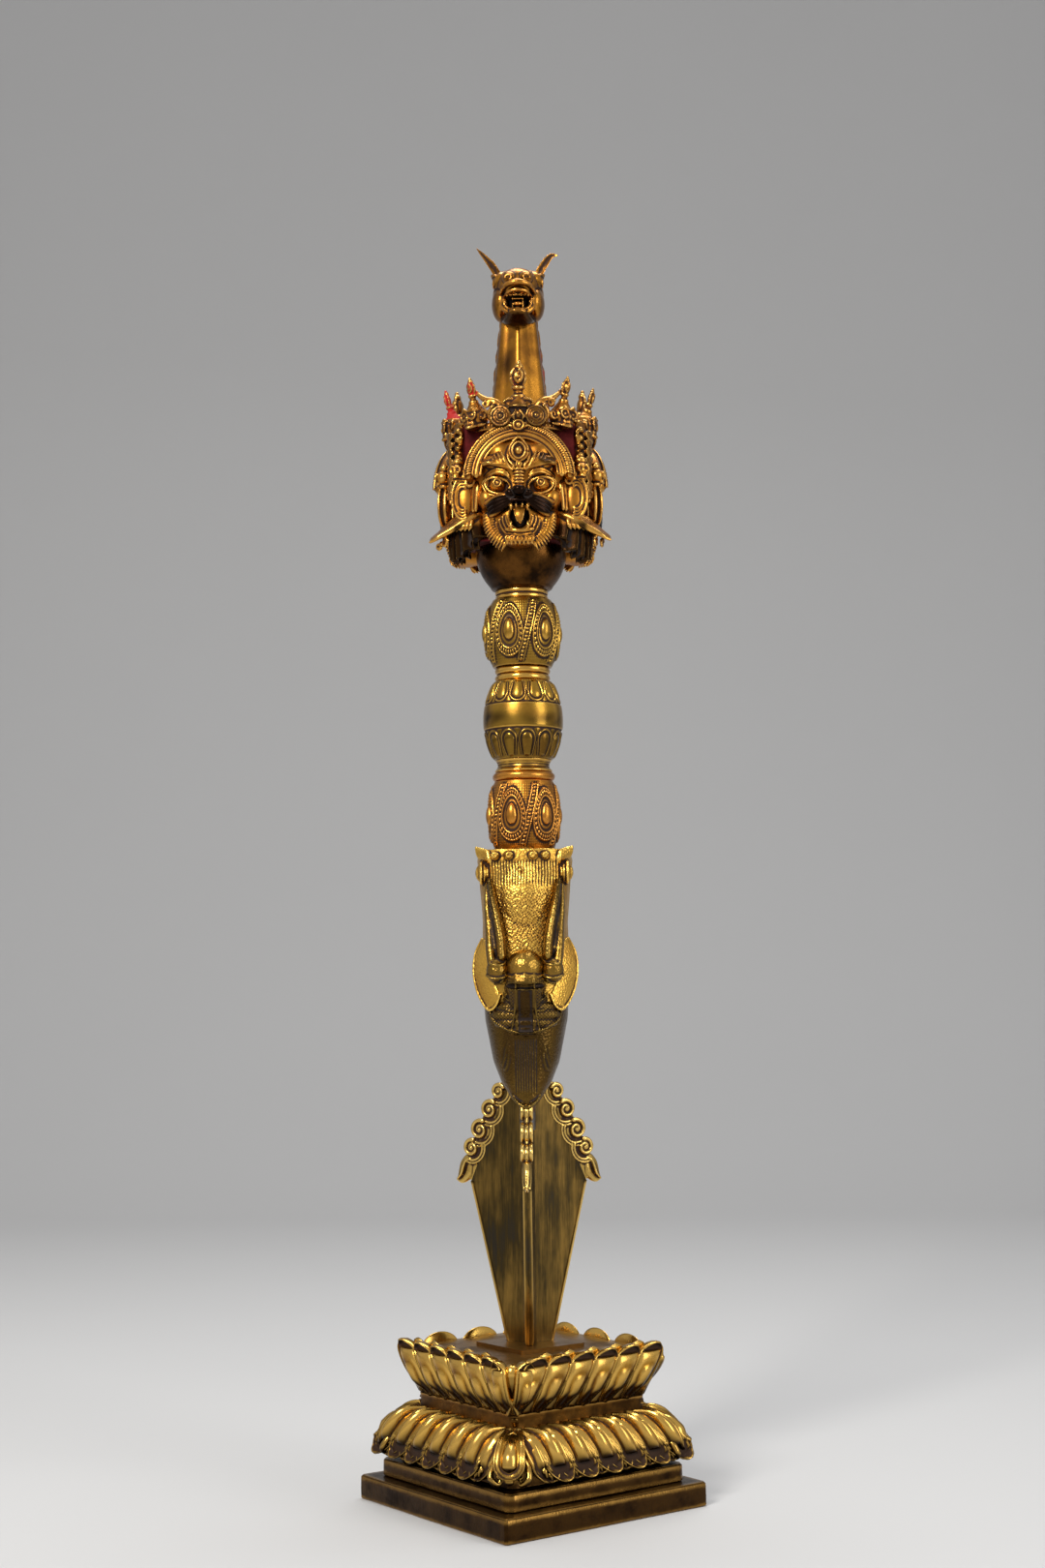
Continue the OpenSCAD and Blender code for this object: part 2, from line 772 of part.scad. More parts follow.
// Height of a wrathful face over its seat: u sideways, v up, q share of the way to its edge
function face_relief(u, v, q) =
  let (s = abs(u))
  face_bulge * sqrt(1 - 0.9 * q * q) * (1 - 0.12 * bump(v - 8, 9))
  + 3 * bump(norm([s - 9, (v - 5 - s * 0.25) * 2]), 6)
  + 3.6 * bump(norm([s - 10.6, v + 3]), 4.2)
  + 9.5 * bump(norm([u * 1.3, (v + 9) * 0.75]), 5.4)
  + 2.4 * bump(norm([s - 4.6, v + 10]), 3)
  + 4.4 * bump(norm([s - 12, v + 15]), 6)
  + 3 * bump(norm([u * 0.5, (v + 14)]), 3)
  - 4.5 * bump(norm([u * 0.55, v + 19.5]), 4.4)
  + 4.2 * bump(norm([u * 0.6, v + 26.5]), 4)
  + 2.2 * bump(norm([u, (v - 12.5) * 0.8]), 3.4);

module face(k) {
  rings = 9;
  steps = 32;
  edge = [for (i = [0 : steps - 1]) let (a = 360 / steps * i)
    [cos(a) * face_r, sin(a) * (sin(a) > 0 ? face_r : face_drop)]];
  front = [for (q = [1 : rings], p = edge) let (c = p * q / rings)
    [c[0], -seat_r - max(1.6, face_relief(c[0], c[1], q / rings)), c[1]]];
  points = concat(front, [for (p = edge) [p[0], -seat_r, p[1]]],
    [[0, -seat_r - face_relief(0, 0, 0), 0], [0, -seat_r, 0]]);
  count = (rings + 1) * steps;
  faces = [for (q = [0 : rings - 1], i = [0 : steps - 1])
    let (a = q * steps + i, b = q * steps + (i + 1) % steps)
    each [[a, b, a + steps], [b, b + steps, a + steps]]];
  middle = [for (i = [0 : steps - 1]) [count, (i + 1) % steps, i]];
  back = [for (i = [0 : steps - 1])
    [count + 1, count - steps + i, count - steps + (i + 1) % steps]];
  color(gilt) on_face(k) polyhedron(points, concat(faces, middle, back));
}

module face_front() { face(0); }
module face_right() { face(1); }
module face_left() { face(2); }

// Double hair band that arches over a face, with a knob at each end
module diadem(k) {
  from = 12;
  knob_r = diadem_w * 0.62;
  knob_at = diadem_inner + knob_r;
  color(gilt) on_face(k) translate([0, -seat_r, 0]) rotate([90, 0, 0]) {
    rotate(from) rotate_extrude(angle = 180 - 2 * from)
      translate([diadem_inner, 0]) {
        square([diadem_w, diadem_t * 0.6]);
        for (s = [0.27, 0.73])
          translate([diadem_w * s, diadem_t * 0.6]) circle(diadem_w * 0.25);
      }
    translate([0, diadem_inner + diadem_w * 0.5, diadem_t * 0.7]) sphere(diadem_w * 0.55);
    for (x = [-1, 1])
      translate([x * knob_at * cos(from), knob_at * sin(from), 0])
        intersection() {
          translate([0, 0, diadem_t * 0.3]) sphere(knob_r);
          translate([-1, -1, 0] * 2 * knob_r) cube(4 * knob_r);
        }
  }
}

module diadem_front() { diadem(0); }
module diadem_right() { diadem(1); }
module diadem_left() { diadem(2); }

// Pair of long ears, each with a dished disc in its lobe
module ears(k) {
  t = 5;
  color(gilt) on_face(k) translate([0, -seat_r, -6.2]) rotate([90, 0, 0])
    for (x = [-1, 1])
      translate([x * (face_r + 2.6 + ear_w), 0, 0]) {
        difference() {
          scale([ear_w / ear_h, 1, 1]) cylinder(r = ear_h, h = t);
          for (y = [-1, 1])
            translate([0, y * ear_h * 0.3, t + ear_w * 0.8]) sphere(ear_w * 1.1);
        }
        translate([x * ear_knob_r / 2, ear_h + ear_knob_r / 2, ear_knob_r * 0.4]) sphere(ear_knob_r);
      }
}

module ears_front() { ears(0); }
module ears_right() { ears(1); }
module ears_left() { ears(2); }

// Tuft of swept-out hair at a corner between two faces, over a curtain of hair below the core
module flare(k) {
  bundle_r = 5.5;
  color(gilt) rotate(turn * k + turn / 2) translate([0, 0, z_core])
    difference() {
      union() {
        hull() {
          translate([0, -core_r + 2, 4]) scale([1, 0.5, 0.5]) sphere(9, $fn = 12);
          translate([0, -flare_reach + 2.4, 0.5]) scale([1.3, 1, 0.7]) sphere(2.4, $fn = 10);
        }
        hull() {
          translate([0, -core_r - 0.6, 3]) scale([1.3, 1, 1]) sphere(bundle_r, $fn = 12);
          translate([0, -core_r + 3, bundle_r - curtain_drop]) sphere(bundle_r, $fn = 12);
          translate([0, -cup_r - 7, bundle_r - curtain_drop]) sphere(bundle_r, $fn = 12);
        }
      }
      translate([0, 0, -seat_gap]) cylinder(r = core_r + seat_gap, h = 40);
    }
}

module flare_right() { flare(0); }
module flare_back() { flare(1); }
module flare_left() { flare(2); }

// Skull with sunken eyes over a short jaw, looking outward along -Y
module skull(r) {
  difference() {
    union() {
      sphere(r);
      translate([0, -r * 0.42, -r * 0.52]) scale([0.62, 0.6, 0.46]) sphere(r);
    }
    for (x = [-1, 1])
      translate([x * r * 0.42, -r * 0.94, r * 0.02]) sphere(r * 0.3);
  }
}

module torus(r, t) {
  rotate_extrude() translate([r, 0]) circle(t);
}

// Wide skull with a double ring round each eye
module wide_skull(r) {
  scale([1.7, 0.8, 1]) sphere(r);
  for (x = [-1, 1])
    translate([x * r * 1.15, -r * 0.5, -r * 0.1]) rotate([90, 0, x * 14]) {
      torus(r * 0.66, r * 0.13);
      torus(r * 0.36, r * 0.1);
      sphere(r * 0.22);
    }
  translate([0, -r * 0.75, 0]) sphere(r * 0.24);
}

// Jewelled finial, as revolved mouldings
module finial(h) {
  rotate_extrude() {
    square([h * 0.2, h * 0.2]);
    translate([h * 0.18, h * 0.1]) circle(h * 0.08);
    square([h * 0.1, h * 0.4]);
    intersection() {
      square(h);
      translate([0, h * 0.56]) circle(h * 0.2);
    }
    intersection() {
      square(h);
      translate([0, h * 0.86]) circle(h * 0.14);
    }
  }
}

// Crown of one face: three large skulls on a band, each under its finial
module crown(k) {
  spacing = turn / 3;
  color(gilt) rotate(turn * k) translate([0, 0, z_crown]) {
    rotate(-90 - turn / 2 + 1) rotate_extrude(angle = turn - 2)
      translate([plate_r - 1.4, 0]) square([4.4, band_h]);
    translate([0, -skull_circle_r, skull_r - skull_drop]) {
      wide_skull(skull_r);
      translate([0, 0, skull_r * 0.8]) rotate([finial_lean / 2, 0, 0]) finial(finial_h);
    }
    for (i = [-1, 1])
      rotate(spacing * i) {
        translate([0, -skull_circle_r, side_skull_r + seat_gap]) skull(side_skull_r);
        translate([0, -skull_circle_r - side_skull_r * 0.1, 1.8 * side_skull_r])
          rotate([finial_lean, 0, 0]) finial(finial_h * 0.7);
      }
  }
}

module crown_front() { crown(0); }
module crown_right() { crown(1); }
module crown_left() { crown(2); }

// Horse

// Neck with a mane behind it, hollow over the nut
module horse_neck() {
  color(gilt)
    difference() {
      union() {
        translate([0, 0, z_crown])
          cylinder(r1 = neck_foot_r, r2 = neck_top_r, h = horse_neck_h);
        translate([2.6, 0, z_crown]) rotate([90, 0, -90]) linear_extrude(5.2)
          polygon([[-neck_foot_r - 3.5, 0], [0, 0], [0, horse_neck_h],
            [-neck_top_r - 3.5, horse_neck_h]]);
      }
      translate([0, 0, z_crown - 1]) cylinder(r = nut_room_r, h = nut_room_h + 1);
      translate([0, 0, z_crown]) cylinder(r = rod_r + hole_gap, h = rod_top - z_crown + 1);
    }
}

POLL = [0, 0, 14];

// Head with an open mouth. Its poll sits on the neck
module horse_head() {
  muzzle = [0, -muzzle_reach + muzzle_r, 9];
  color(gilt)
    difference() {
      translate([0, 0, z_horse]) {
        difference() {
          union() {
            translate(POLL) sphere(poll_r);
            hull() {
              translate(POLL + [0, -3, 0]) sphere(poll_r * 0.88, $fn = 14);
              translate(muzzle) sphere(muzzle_r, $fn = 14);
            }
            hull() {
              translate([0, -4, 5]) sphere(poll_r * 0.62, $fn = 12);
              translate(muzzle + [0, 1, -6.4]) sphere(muzzle_r * 0.66, $fn = 12);
            }
            cylinder(r = neck_top_r, h = 8);
          }
          translate([-20, -muzzle_reach - 3, 4.6]) rotate([-16, 0, 0]) cube([40, 15, 3]);
          translate([-25, -25, -20]) cube([50, 50, 20 - 6]);
        }
      }
      translate([0, 0, z_horse - 30]) cylinder(r = neck_top_r + 5.4, h = 30);
    }
}

// Two leaf-shaped ears that lean outward from the poll
module horse_ears() {
  root = [poll_r * 0.74, -1, poll_r * 0.6];
  tip = root + [horse_ear_l * 0.5, -1, horse_ear_l * 0.78];
  middle = (root + tip) / 2 + [0.6, 0, 0.4];
  color(old_gilt) translate([0, 0, z_horse]) translate(POLL)
    for (x = [-1, 1]) mirror([x < 0 ? 1 : 0, 0, 0])
      difference() {
        union() {
          hull() {
            translate(root) sphere(2, $fn = 10);
            translate(middle) scale([1, 0.6, 1.2]) sphere(2.6, $fn = 10);
          }
          hull() {
            translate(middle) scale([1, 0.6, 1.2]) sphere(2.6, $fn = 10);
            translate(tip) sphere(0.8, $fn = 8);
          }
        }
        sphere(poll_r + seat_gap);
      }
}

module head_washer() {
  color(iron) translate([0, 0, z_crown]) round_ring(head_washer_r, 1.4, rod_r + hole_gap);
}

module head_nut() {
  color(iron) translate([0, 0, z_crown + 1.4]) hex_nut(rod_r * 1.9, head_nut_h, rod_r + hole_gap / 3);
}

plinth();
step_tier();
lower_lotus();
waist();
upper_lotus();
deck_plate();
blade_socket();
stand_washer();
stand_nut();
blade();
crest_front();
crest_right();
crest_left();
core_rod();
makara_head();
makara_trunk();
makara_horns();
makara_cheeks();
lower_knot_bead();
torus_ring();
lower_collar();
lotus_bead();
double_ring();
upper_knot_bead();
upper_ring();
neck_cup();
head_core();
face_front();
face_right();
face_left();
diadem_front();
diadem_right();
diadem_left();
ears_front();
ears_right();
ears_left();
flare_right();
flare_back();
flare_left();
crown_front();
crown_right();
crown_left();
horse_neck();
horse_head();
horse_ears();
head_washer();
head_nut();
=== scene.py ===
"""Looks of the three-faced phurba on its lotus stand, built round the packed model."""

import math

import bmesh
import bpy
import numpy as np
from bpy.props import FloatProperty, FloatVectorProperty, IntProperty, PointerProperty
from mathutils import Matrix, Vector


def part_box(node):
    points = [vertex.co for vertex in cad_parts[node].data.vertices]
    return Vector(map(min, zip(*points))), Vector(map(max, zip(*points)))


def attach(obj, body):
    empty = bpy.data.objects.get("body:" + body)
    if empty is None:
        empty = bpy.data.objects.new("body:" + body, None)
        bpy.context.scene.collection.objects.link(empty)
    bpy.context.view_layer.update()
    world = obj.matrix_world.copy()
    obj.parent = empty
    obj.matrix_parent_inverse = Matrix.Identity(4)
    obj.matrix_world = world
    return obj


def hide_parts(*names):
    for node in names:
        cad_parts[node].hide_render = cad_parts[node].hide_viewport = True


bl_info = {
    "name": "Gilt phurba",
    "version": (1, 0, 0),
    "blender": (4, 5, 0),
    "location": "3D View > Sidebar > Phurba",
    "description": "Dresses the phurba's frame with its castings and finishes",
    "category": "Object",
}

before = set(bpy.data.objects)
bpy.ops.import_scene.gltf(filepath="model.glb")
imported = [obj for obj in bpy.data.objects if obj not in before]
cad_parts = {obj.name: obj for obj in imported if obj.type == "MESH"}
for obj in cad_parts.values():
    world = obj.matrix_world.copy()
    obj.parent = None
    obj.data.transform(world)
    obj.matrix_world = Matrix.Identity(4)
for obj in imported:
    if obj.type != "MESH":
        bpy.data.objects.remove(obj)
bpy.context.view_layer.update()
MM = 0.001
THIRD = 2 * math.pi / 3
ROD_HOLE = 4.3
SIDES = ("front", "right", "left")


def low(node):
    """Lowest height of a node, in millimetres."""
    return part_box(node)[0].z / MM


def high(node):
    """Greatest height of a node, in millimetres."""
    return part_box(node)[1].z / MM


# Forms: shells, castings and marks


class Form:
    """Closed shells gathered in millimetres, to become one mesh."""

    def __init__(self):
        self.points = []
        self.faces = []
        self.count = 0

    def add(self, points, faces):
        """Adds points with their faces."""
        self.points.append(np.asarray(points, float))
        self.faces.extend(tuple(int(i) + self.count for i in f) for f in faces)
        self.count += len(points)
        return self

    def grid(self, net, wrap=True, caps=True):
        """Adds a net of rings, each closed on itself, with its ends closed."""
        rows, cols = net.shape[:2]
        faces = []
        last = cols if wrap else cols - 1
        for i in range(rows - 1):
            a, b = i * cols, (i + 1) * cols
            faces += [(a + j, a + (j + 1) % cols, b + (j + 1) % cols, b + j) for j in range(last)]
        points = net.reshape(-1, 3)
        if caps:
            points = np.vstack([points, net[0].mean(0), net[-1].mean(0)])
            n = rows * cols
            faces += [(n, (j + 1) % cols, j) for j in range(cols)]
            e = (rows - 1) * cols
            faces += [(n + 1, e + j, e + (j + 1) % cols) for j in range(cols)]
        return self.add(points, faces)

    def ball(self, centre, radii, turn=None, n=20):
        """Adds an ellipsoid."""
        radii = np.ones(3) * radii
        u = np.linspace(0.04, math.pi - 0.04, n // 2 + 1)
        v = np.linspace(0, 2 * math.pi, n, endpoint=False)
        net = np.stack(
            [np.outer(np.sin(u), np.cos(v)), np.outer(np.sin(u), np.sin(v)),
             np.outer(-np.cos(u), np.ones(n))], -1
        )
        net = net * radii
        if turn is not None:
            net = net @ np.asarray(turn).T
        return self.grid(net + np.asarray(centre, float))

    def tube(self, path, radii, flat=1.0, up=None, sides=12, round_ends=True, smooth=0):
        """Adds a closed tube along a path. Radii are one number or one per point. Flat thins it along up."""
        path = np.asarray(path, float)
        radii = np.ones(len(path)) * radii
        if smooth:
            path, radii = spline(path, radii, smooth)
        along = np.gradient(path, axis=0)
        along /= np.linalg.norm(along, axis=1)[:, None] + 1e-12
        guide = np.array([0.0, 0.0, 1.0]) if up is None else np.asarray(up, float)
        side = np.cross(along, guide)
        short = np.linalg.norm(side, axis=1) < 1e-3
        side[short] = np.cross(along[short], [1.0, 0.01, 0.0])
        side /= np.linalg.norm(side, axis=1)[:, None]
        top = np.cross(side, along)
        if round_ends:
            k = np.array([0.35, 0.75, 1.0])
            ahead = np.sqrt(1 - k**2)
            head = path[0] - along[0] * ahead[:, None] * radii[0]
            tail = path[-1] + along[-1] * ahead[::-1, None] * radii[-1]
            path = np.vstack([head[:-1], path, tail[1:]])
            radii = np.concatenate([k[:-1] * radii[0], radii, k[::-1][1:] * radii[-1]])
            side = np.vstack([side[:1]] * 2 + [side] + [side[-1:]] * 2)
            top = np.vstack([top[:1]] * 2 + [top] + [top[-1:]] * 2)
        angle = np.linspace(0, 2 * math.pi, sides, endpoint=False)
        net = path[:, None] + radii[:, None, None] * (side[:, None] * np.cos(angle)[None, :, None]
                                                      + top[:, None] * flat * np.sin(angle)[None, :, None])
        return self.grid(net)

    def wire(self, path, radii, **settings):
        """Adds a thin tube whose sections face the viewer."""
        return self.tube(path, radii, up=(0, 1, 0), sides=8, **settings)

    def revolve(self, outline, sides=96):
        """Adds a solid turned from (radius, height) points, from its lower axis end to its upper one."""
        outline = np.asarray(outline, float)
        angle = np.linspace(0, 2 * math.pi, sides, endpoint=False)
        net = np.stack(
            [np.outer(outline[:, 0], np.cos(angle)), np.outer(outline[:, 0], np.sin(angle)),
             np.outer(outline[:, 1], np.ones(sides))], -1
        )
        return self.grid(net)

    def join(self, other, turn=None, shift=(0, 0, 0)):
        """Adds a copy of another form."""
        points = np.vstack(other.points)
        if turn is not None:
            points = points @ np.asarray(turn).T
        return self.add(points + np.asarray(shift, float), other.faces)

    def mesh(self, name):
        """Makes the form an object of that name."""
        mesh = bpy.data.meshes.new(name)
        points = np.vstack(self.points) * MM
        mesh.from_pydata(points.tolist(), [], self.faces)
        shell = bmesh.new()
        shell.from_mesh(mesh)
        bmesh.ops.recalc_face_normals(shell, faces=shell.faces)
        shell.to_mesh(mesh)
        shell.free()
        mesh.polygons.foreach_set("use_smooth", [True] * len(mesh.polygons))
        mesh.update()
        obj = bpy.data.objects.new(name, mesh)
        bpy.context.scene.collection.objects.link(obj)
        return obj


def spline(path, radii, n):
    """More points on a smooth curve through a path, with its radii."""
    at = np.arange(len(path))
    fine = np.linspace(0, len(path) - 1, (len(path) - 1) * n + 1)
    slope = np.gradient(path, axis=0)
    i = np.clip(fine.astype(int), 0, len(path) - 2)
    t = (fine - i)[:, None]
    a, b = path[i], path[i + 1]
    curve = (
        (2 * t**3 - 3 * t**2 + 1) * a + (t**3 - 2 * t**2 + t) * slope[i]
        + (3 * t**2 - 2 * t**3) * b + (t**3 - t**2) * slope[i + 1]
    )
    return curve, np.interp(fine, at, radii)


def turn_z(angle):
    """A turn about the upright axis."""
    c, s = math.cos(angle), math.sin(angle)
    return np.array([[c, -s, 0], [s, c, 0], [0, 0, 1]])


def turn_x(angle):
    """A turn about the axis that runs to the right."""
    c, s = math.cos(angle), math.sin(angle)
    return np.array([[1, 0, 0], [0, c, -s], [0, s, c]])


def turn_y(angle):
    """A turn about the axis that runs away from the viewer."""
    c, s = math.cos(angle), math.sin(angle)
    return np.array([[c, 0, s], [0, 1, 0], [-s, 0, c]])


def hill(d, width):
    """A smooth rise of 1 at distance 0 that fades past width."""
    return np.exp(-((d / width) ** 2))


def ridge(d, width):
    """A half-round ridge of 1 at distance 0 that ends at width."""
    return np.sqrt(np.clip(1 - (d / width) ** 2, 0, 1))


def step(x, a, b):
    """0 below a, 1 above b, smooth between."""
    t = np.clip((x - a) / (b - a), 0, 1)
    return t * t * (3 - 2 * t)


def co_of(obj):
    """Points of a piece, in metres."""
    co = np.empty(len(obj.data.vertices) * 3, np.float32)
    obj.data.vertices.foreach_get("co", co)
    return co.reshape(-1, 3).astype(float)


def set_co(obj, co):
    """Gives a piece its points, in metres."""
    obj.data.vertices.foreach_set("co", np.asarray(co, np.float32).ravel())
    obj.data.update()


def normals_of(obj):
    """Normals at the points of a piece."""
    n = np.empty(len(obj.data.vertices) * 3, np.float32)
    obj.data.vertices.foreach_get("normal", n)
    return n.reshape(-1, 3).astype(float)


def edges_of(obj):
    """Pairs of joined points of a piece."""
    e = np.empty(len(obj.data.edges) * 2, np.int32)
    obj.data.edges.foreach_get("vertices", e)
    return e.reshape(-1, 2)


def relaxed(co, edges, rounds):
    """Points moved to the mean of their neighbours, again and again."""
    n = len(co)
    a = np.concatenate([edges[:, 0], edges[:, 1]])
    b = np.concatenate([edges[:, 1], edges[:, 0]])
    degree = np.bincount(a, minlength=n).clip(1)[:, None]
    for _ in range(rounds):
        near = np.stack([np.bincount(a, weights=co[b, k], minlength=n) for k in range(3)], 1) / degree
        co = co + 0.6 * (near - co)
    return co


def mark(obj, name, values):
    """Stores a value from 0 to 1 at each point of a piece. One number serves for all the points."""
    layer = obj.data.attributes.new(name, "FLOAT", "POINT")
    values = np.ones(len(obj.data.vertices)) * values
    layer.data.foreach_set("value", np.clip(values, 0, 1).astype(np.float32))


def mark_recesses(obj, rounds=(6, 24), gain=900.0):
    """Stores how deep each point lies in a recess (above 0.5) or on an edge (below 0.5)."""
    co, edges, normal = co_of(obj), edges_of(obj), normals_of(obj)
    depth = np.zeros(len(co))
    done, smooth = 0, co
    for r in rounds:
        smooth = relaxed(smooth, edges, r - done)
        done = r
        depth += np.einsum("ij,ij->i", smooth - co, normal)
    mark(obj, "recess", 0.5 + np.clip(depth * gain, -0.5, 0.5))


def bake(obj):
    """Applies a piece's modifiers."""
    bpy.context.view_layer.update()
    graph = bpy.context.evaluated_depsgraph_get()
    mesh = bpy.data.meshes.new_from_object(obj.evaluated_get(graph))
    obj.modifiers.clear()
    old = obj.data
    obj.data = mesh
    bpy.data.meshes.remove(old)
    mesh.name = obj.name
    return mesh


def cast(form, name, voxel=0.5, smooth=3, relief=None):
    """One skin over all the shells of a form, as a casting has, smoothed, then given its relief."""
    obj = form.mesh(name)
    shell = obj.modifiers.new("skin", "REMESH")
    shell.mode = "VOXEL"
    shell.voxel_size = voxel * MM
    shell.adaptivity = 0
    mesh = bake(obj)
    set_co(obj, relaxed(co_of(obj), edges_of(obj), smooth))
    mesh.polygons.foreach_set("use_smooth", [True] * len(mesh.polygons))
    if relief is not None:
        co, normal = co_of(obj) / MM, normals_of(obj)
        set_co(obj, (co + normal * relief(co, normal)[:, None]) * MM)
    return obj


def dress(obj, material, body, nodes, slot, recesses=True, **marks):
    """Gives a piece its finish, its body and the nodes that it stands for."""
    if recesses:
        mark_recesses(obj, **marks)
    obj.data.materials.clear()
    obj.data.materials.append(material)
    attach(obj, body)
    if nodes:
        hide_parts(*nodes)
    return obj


def copy_turned(obj, name, angle):
    """A copy of a piece, turned about the dagger's axis."""
    mesh = obj.data.copy()
    mesh.name = name
    twin = bpy.data.objects.new(name, mesh)
    bpy.context.scene.collection.objects.link(twin)
    set_co(twin, co_of(twin) @ turn_z(angle).T)
    return twin


def on_three_sides(first, piece, node, metal, slot, start=0.0, sides=SIDES, paint=None, **marks):
    """Puts a copy of a finished shape on each side of the dagger, and removes the shape."""
    for k, side in enumerate(sides):
        obj = copy_turned(first, piece.format(side), k * THIRD + start)
        if paint:
            paint(obj, k)
        dress(obj, finish(metal), "dagger", [node.format(side)], slot, recesses=bool(marks), **marks)
    bpy.data.objects.remove(first)


# Finishes


def new_group(name, inputs, outputs):
    """A shader group, with the sockets at its two ends."""
    group = bpy.data.node_groups.new(name, "ShaderNodeTree")
    for label, kind, value in inputs:
        socket = group.interface.new_socket(label, in_out="INPUT", socket_type=kind)
        socket.default_value = value
    for label, kind in outputs:
        group.interface.new_socket(label, in_out="OUTPUT", socket_type=kind)
    source = group.nodes.new("NodeGroupInput")
    sink = group.nodes.new("NodeGroupOutput")
    return group, source.outputs, sink.inputs


class Wires:
    """Short ways to place and join nodes in one tree."""

    def __init__(self, tree):
        self.tree = tree

    def node(self, kind, **settings):
        """Places a node."""
        node = self.tree.nodes.new(kind)
        for key, value in settings.items():
            setattr(node, key, value)
        return node

    def feed(self, socket, value):
        """Joins a socket to another one, or sets its value."""
        if isinstance(value, bpy.types.NodeSocket):
            self.tree.links.new(value, socket)
        else:
            socket.default_value = value

    def math(self, operation, *values, clamp=False):
        """One sum of numbers or sockets."""
        node = self.node("ShaderNodeMath", operation=operation, use_clamp=clamp)
        for i, value in enumerate(values):
            self.feed(node.inputs[i], value)
        return node.outputs[0]

    def plus(self, a, b):
        return self.math("ADD", a, b)

    def minus(self, a, b, **settings):
        return self.math("SUBTRACT", a, b, **settings)

    def times(self, a, b):
        return self.math("MULTIPLY", a, b)

    def attribute(self, name):
        """A value stored at the points of a piece."""
        return self.node("ShaderNodeAttribute", attribute_name=name).outputs["Fac"]

    def place(self):
        """Coordinates that stay with the piece."""
        return self.node("ShaderNodeTexCoord").outputs["Object"]

    def surface(self, shader, color, rough, metal):
        """Feeds a shader its colour, roughness and metal."""
        for label, value in (("Base Color", color), ("Roughness", rough), ("Metallic", metal)):
            self.feed(shader.inputs[label], value)

    def bump(self, shader, height, strength, distance):
        """Raises a shader's surface by a height."""
        node = self.node("ShaderNodeBump")
        node.inputs["Strength"].default_value = strength
        node.inputs["Distance"].default_value = distance
        self.feed(node.inputs["Height"], height)
        self.feed(shader.inputs["Normal"], node.outputs["Normal"])

    def mix(self, factor, a, b):
        """One colour over another."""
        node = self.node("ShaderNodeMix", data_type="RGBA")
        self.feed(node.inputs[0], factor)
        self.feed(node.inputs[6], a)
        self.feed(node.inputs[7], b)
        return node.outputs[2]

    def blend(self, value, low_in, high_in, low_out=0.0, high_out=1.0):
        """Maps a value smoothly from one range to another."""
        node = self.node("ShaderNodeMapRange", interpolation_type="SMOOTHSTEP")
        for i, v in enumerate((value, low_in, high_in, low_out, high_out)):
            self.feed(node.inputs[i], v)
        return node.outputs[0]

    def noise(self, place, scale, detail=4.0, rough=0.55, stretch=None, bend=0.0):
        """Soft noise, stretched or bent where asked."""
        if stretch is not None:
            mapping = self.node("ShaderNodeMapping")
            self.feed(mapping.inputs[0], place)
            mapping.inputs[3].default_value = stretch
            place = mapping.outputs[0]
        node = self.node("ShaderNodeTexNoise")
        self.feed(node.inputs["Vector"], place)
        self.feed(node.inputs["Scale"], scale)
        node.inputs["Detail"].default_value = detail
        node.inputs["Roughness"].default_value = rough
        node.inputs["Distortion"].default_value = bend
        return node.outputs[0]


def make_gilding():
    """Gilding over bronze: dark in recesses, bright on edges, mottled by age."""
    inputs = [("Gilt", "NodeSocketColor", (0.5, 0.3, 0.07, 1)),
              ("Bright", "NodeSocketColor", (0.8, 0.55, 0.2, 1)),
              ("Deep", "NodeSocketColor", (0.03, 0.015, 0.006, 1)),
              ("Tarnish", "NodeSocketColor", (0.2, 0.1, 0.03, 1)),
              ("Recess", "NodeSocketFloat", 0.5), ("Darkening", "NodeSocketFloat", 0.6),
              ("Age", "NodeSocketFloat", 0.5), ("Polish", "NodeSocketFloat", 0.3),
              ("Edges", "NodeSocketFloat", 0.75)]
    outputs = [("Color", "NodeSocketColor"), ("Roughness", "NodeSocketFloat"),
               ("Metallic", "NodeSocketFloat")]
    group, given, out = new_group("Old gilding", inputs, outputs)
    w = Wires(group)
    place = w.place()
    cloud = w.noise(place, 70.0, 5.0, 0.6)
    speck = w.noise(place, 700.0, 3.0, 0.7)
    fleck = w.noise(place, 260.0, 4.0, 0.65, bend=0.6)
    ragged = w.plus(given["Recess"], w.times(w.minus(fleck, 0.5), 0.22))
    deep = w.blend(ragged, 0.5, w.minus(1.15, w.times(given["Darkening"], 0.55)))
    edge = w.blend(w.minus(1.0, ragged), 0.54, 0.85)
    age = w.times(given["Age"], w.blend(cloud, 0.42, 0.68))
    spots = w.times(given["Age"], w.blend(speck, 0.6, 0.74))
    color = w.mix(age, given["Gilt"], given["Tarnish"])
    color = w.mix(w.times(spots, 0.5), color, given["Deep"])
    color = w.mix(w.times(edge, given["Edges"]), color, given["Bright"])
    color = w.mix(deep, color, given["Deep"])
    w.feed(out["Color"], color)
    rough = w.plus(given["Polish"], w.times(deep, 0.35))
    rough = w.plus(rough, w.times(age, 0.16))
    rough = w.minus(rough, w.times(edge, 0.08))
    w.feed(out["Roughness"], w.math("MAXIMUM", rough, 0.12))
    w.feed(out["Metallic"], w.blend(deep, 0.3, 1.0, 1.0, 0.55))
    return group


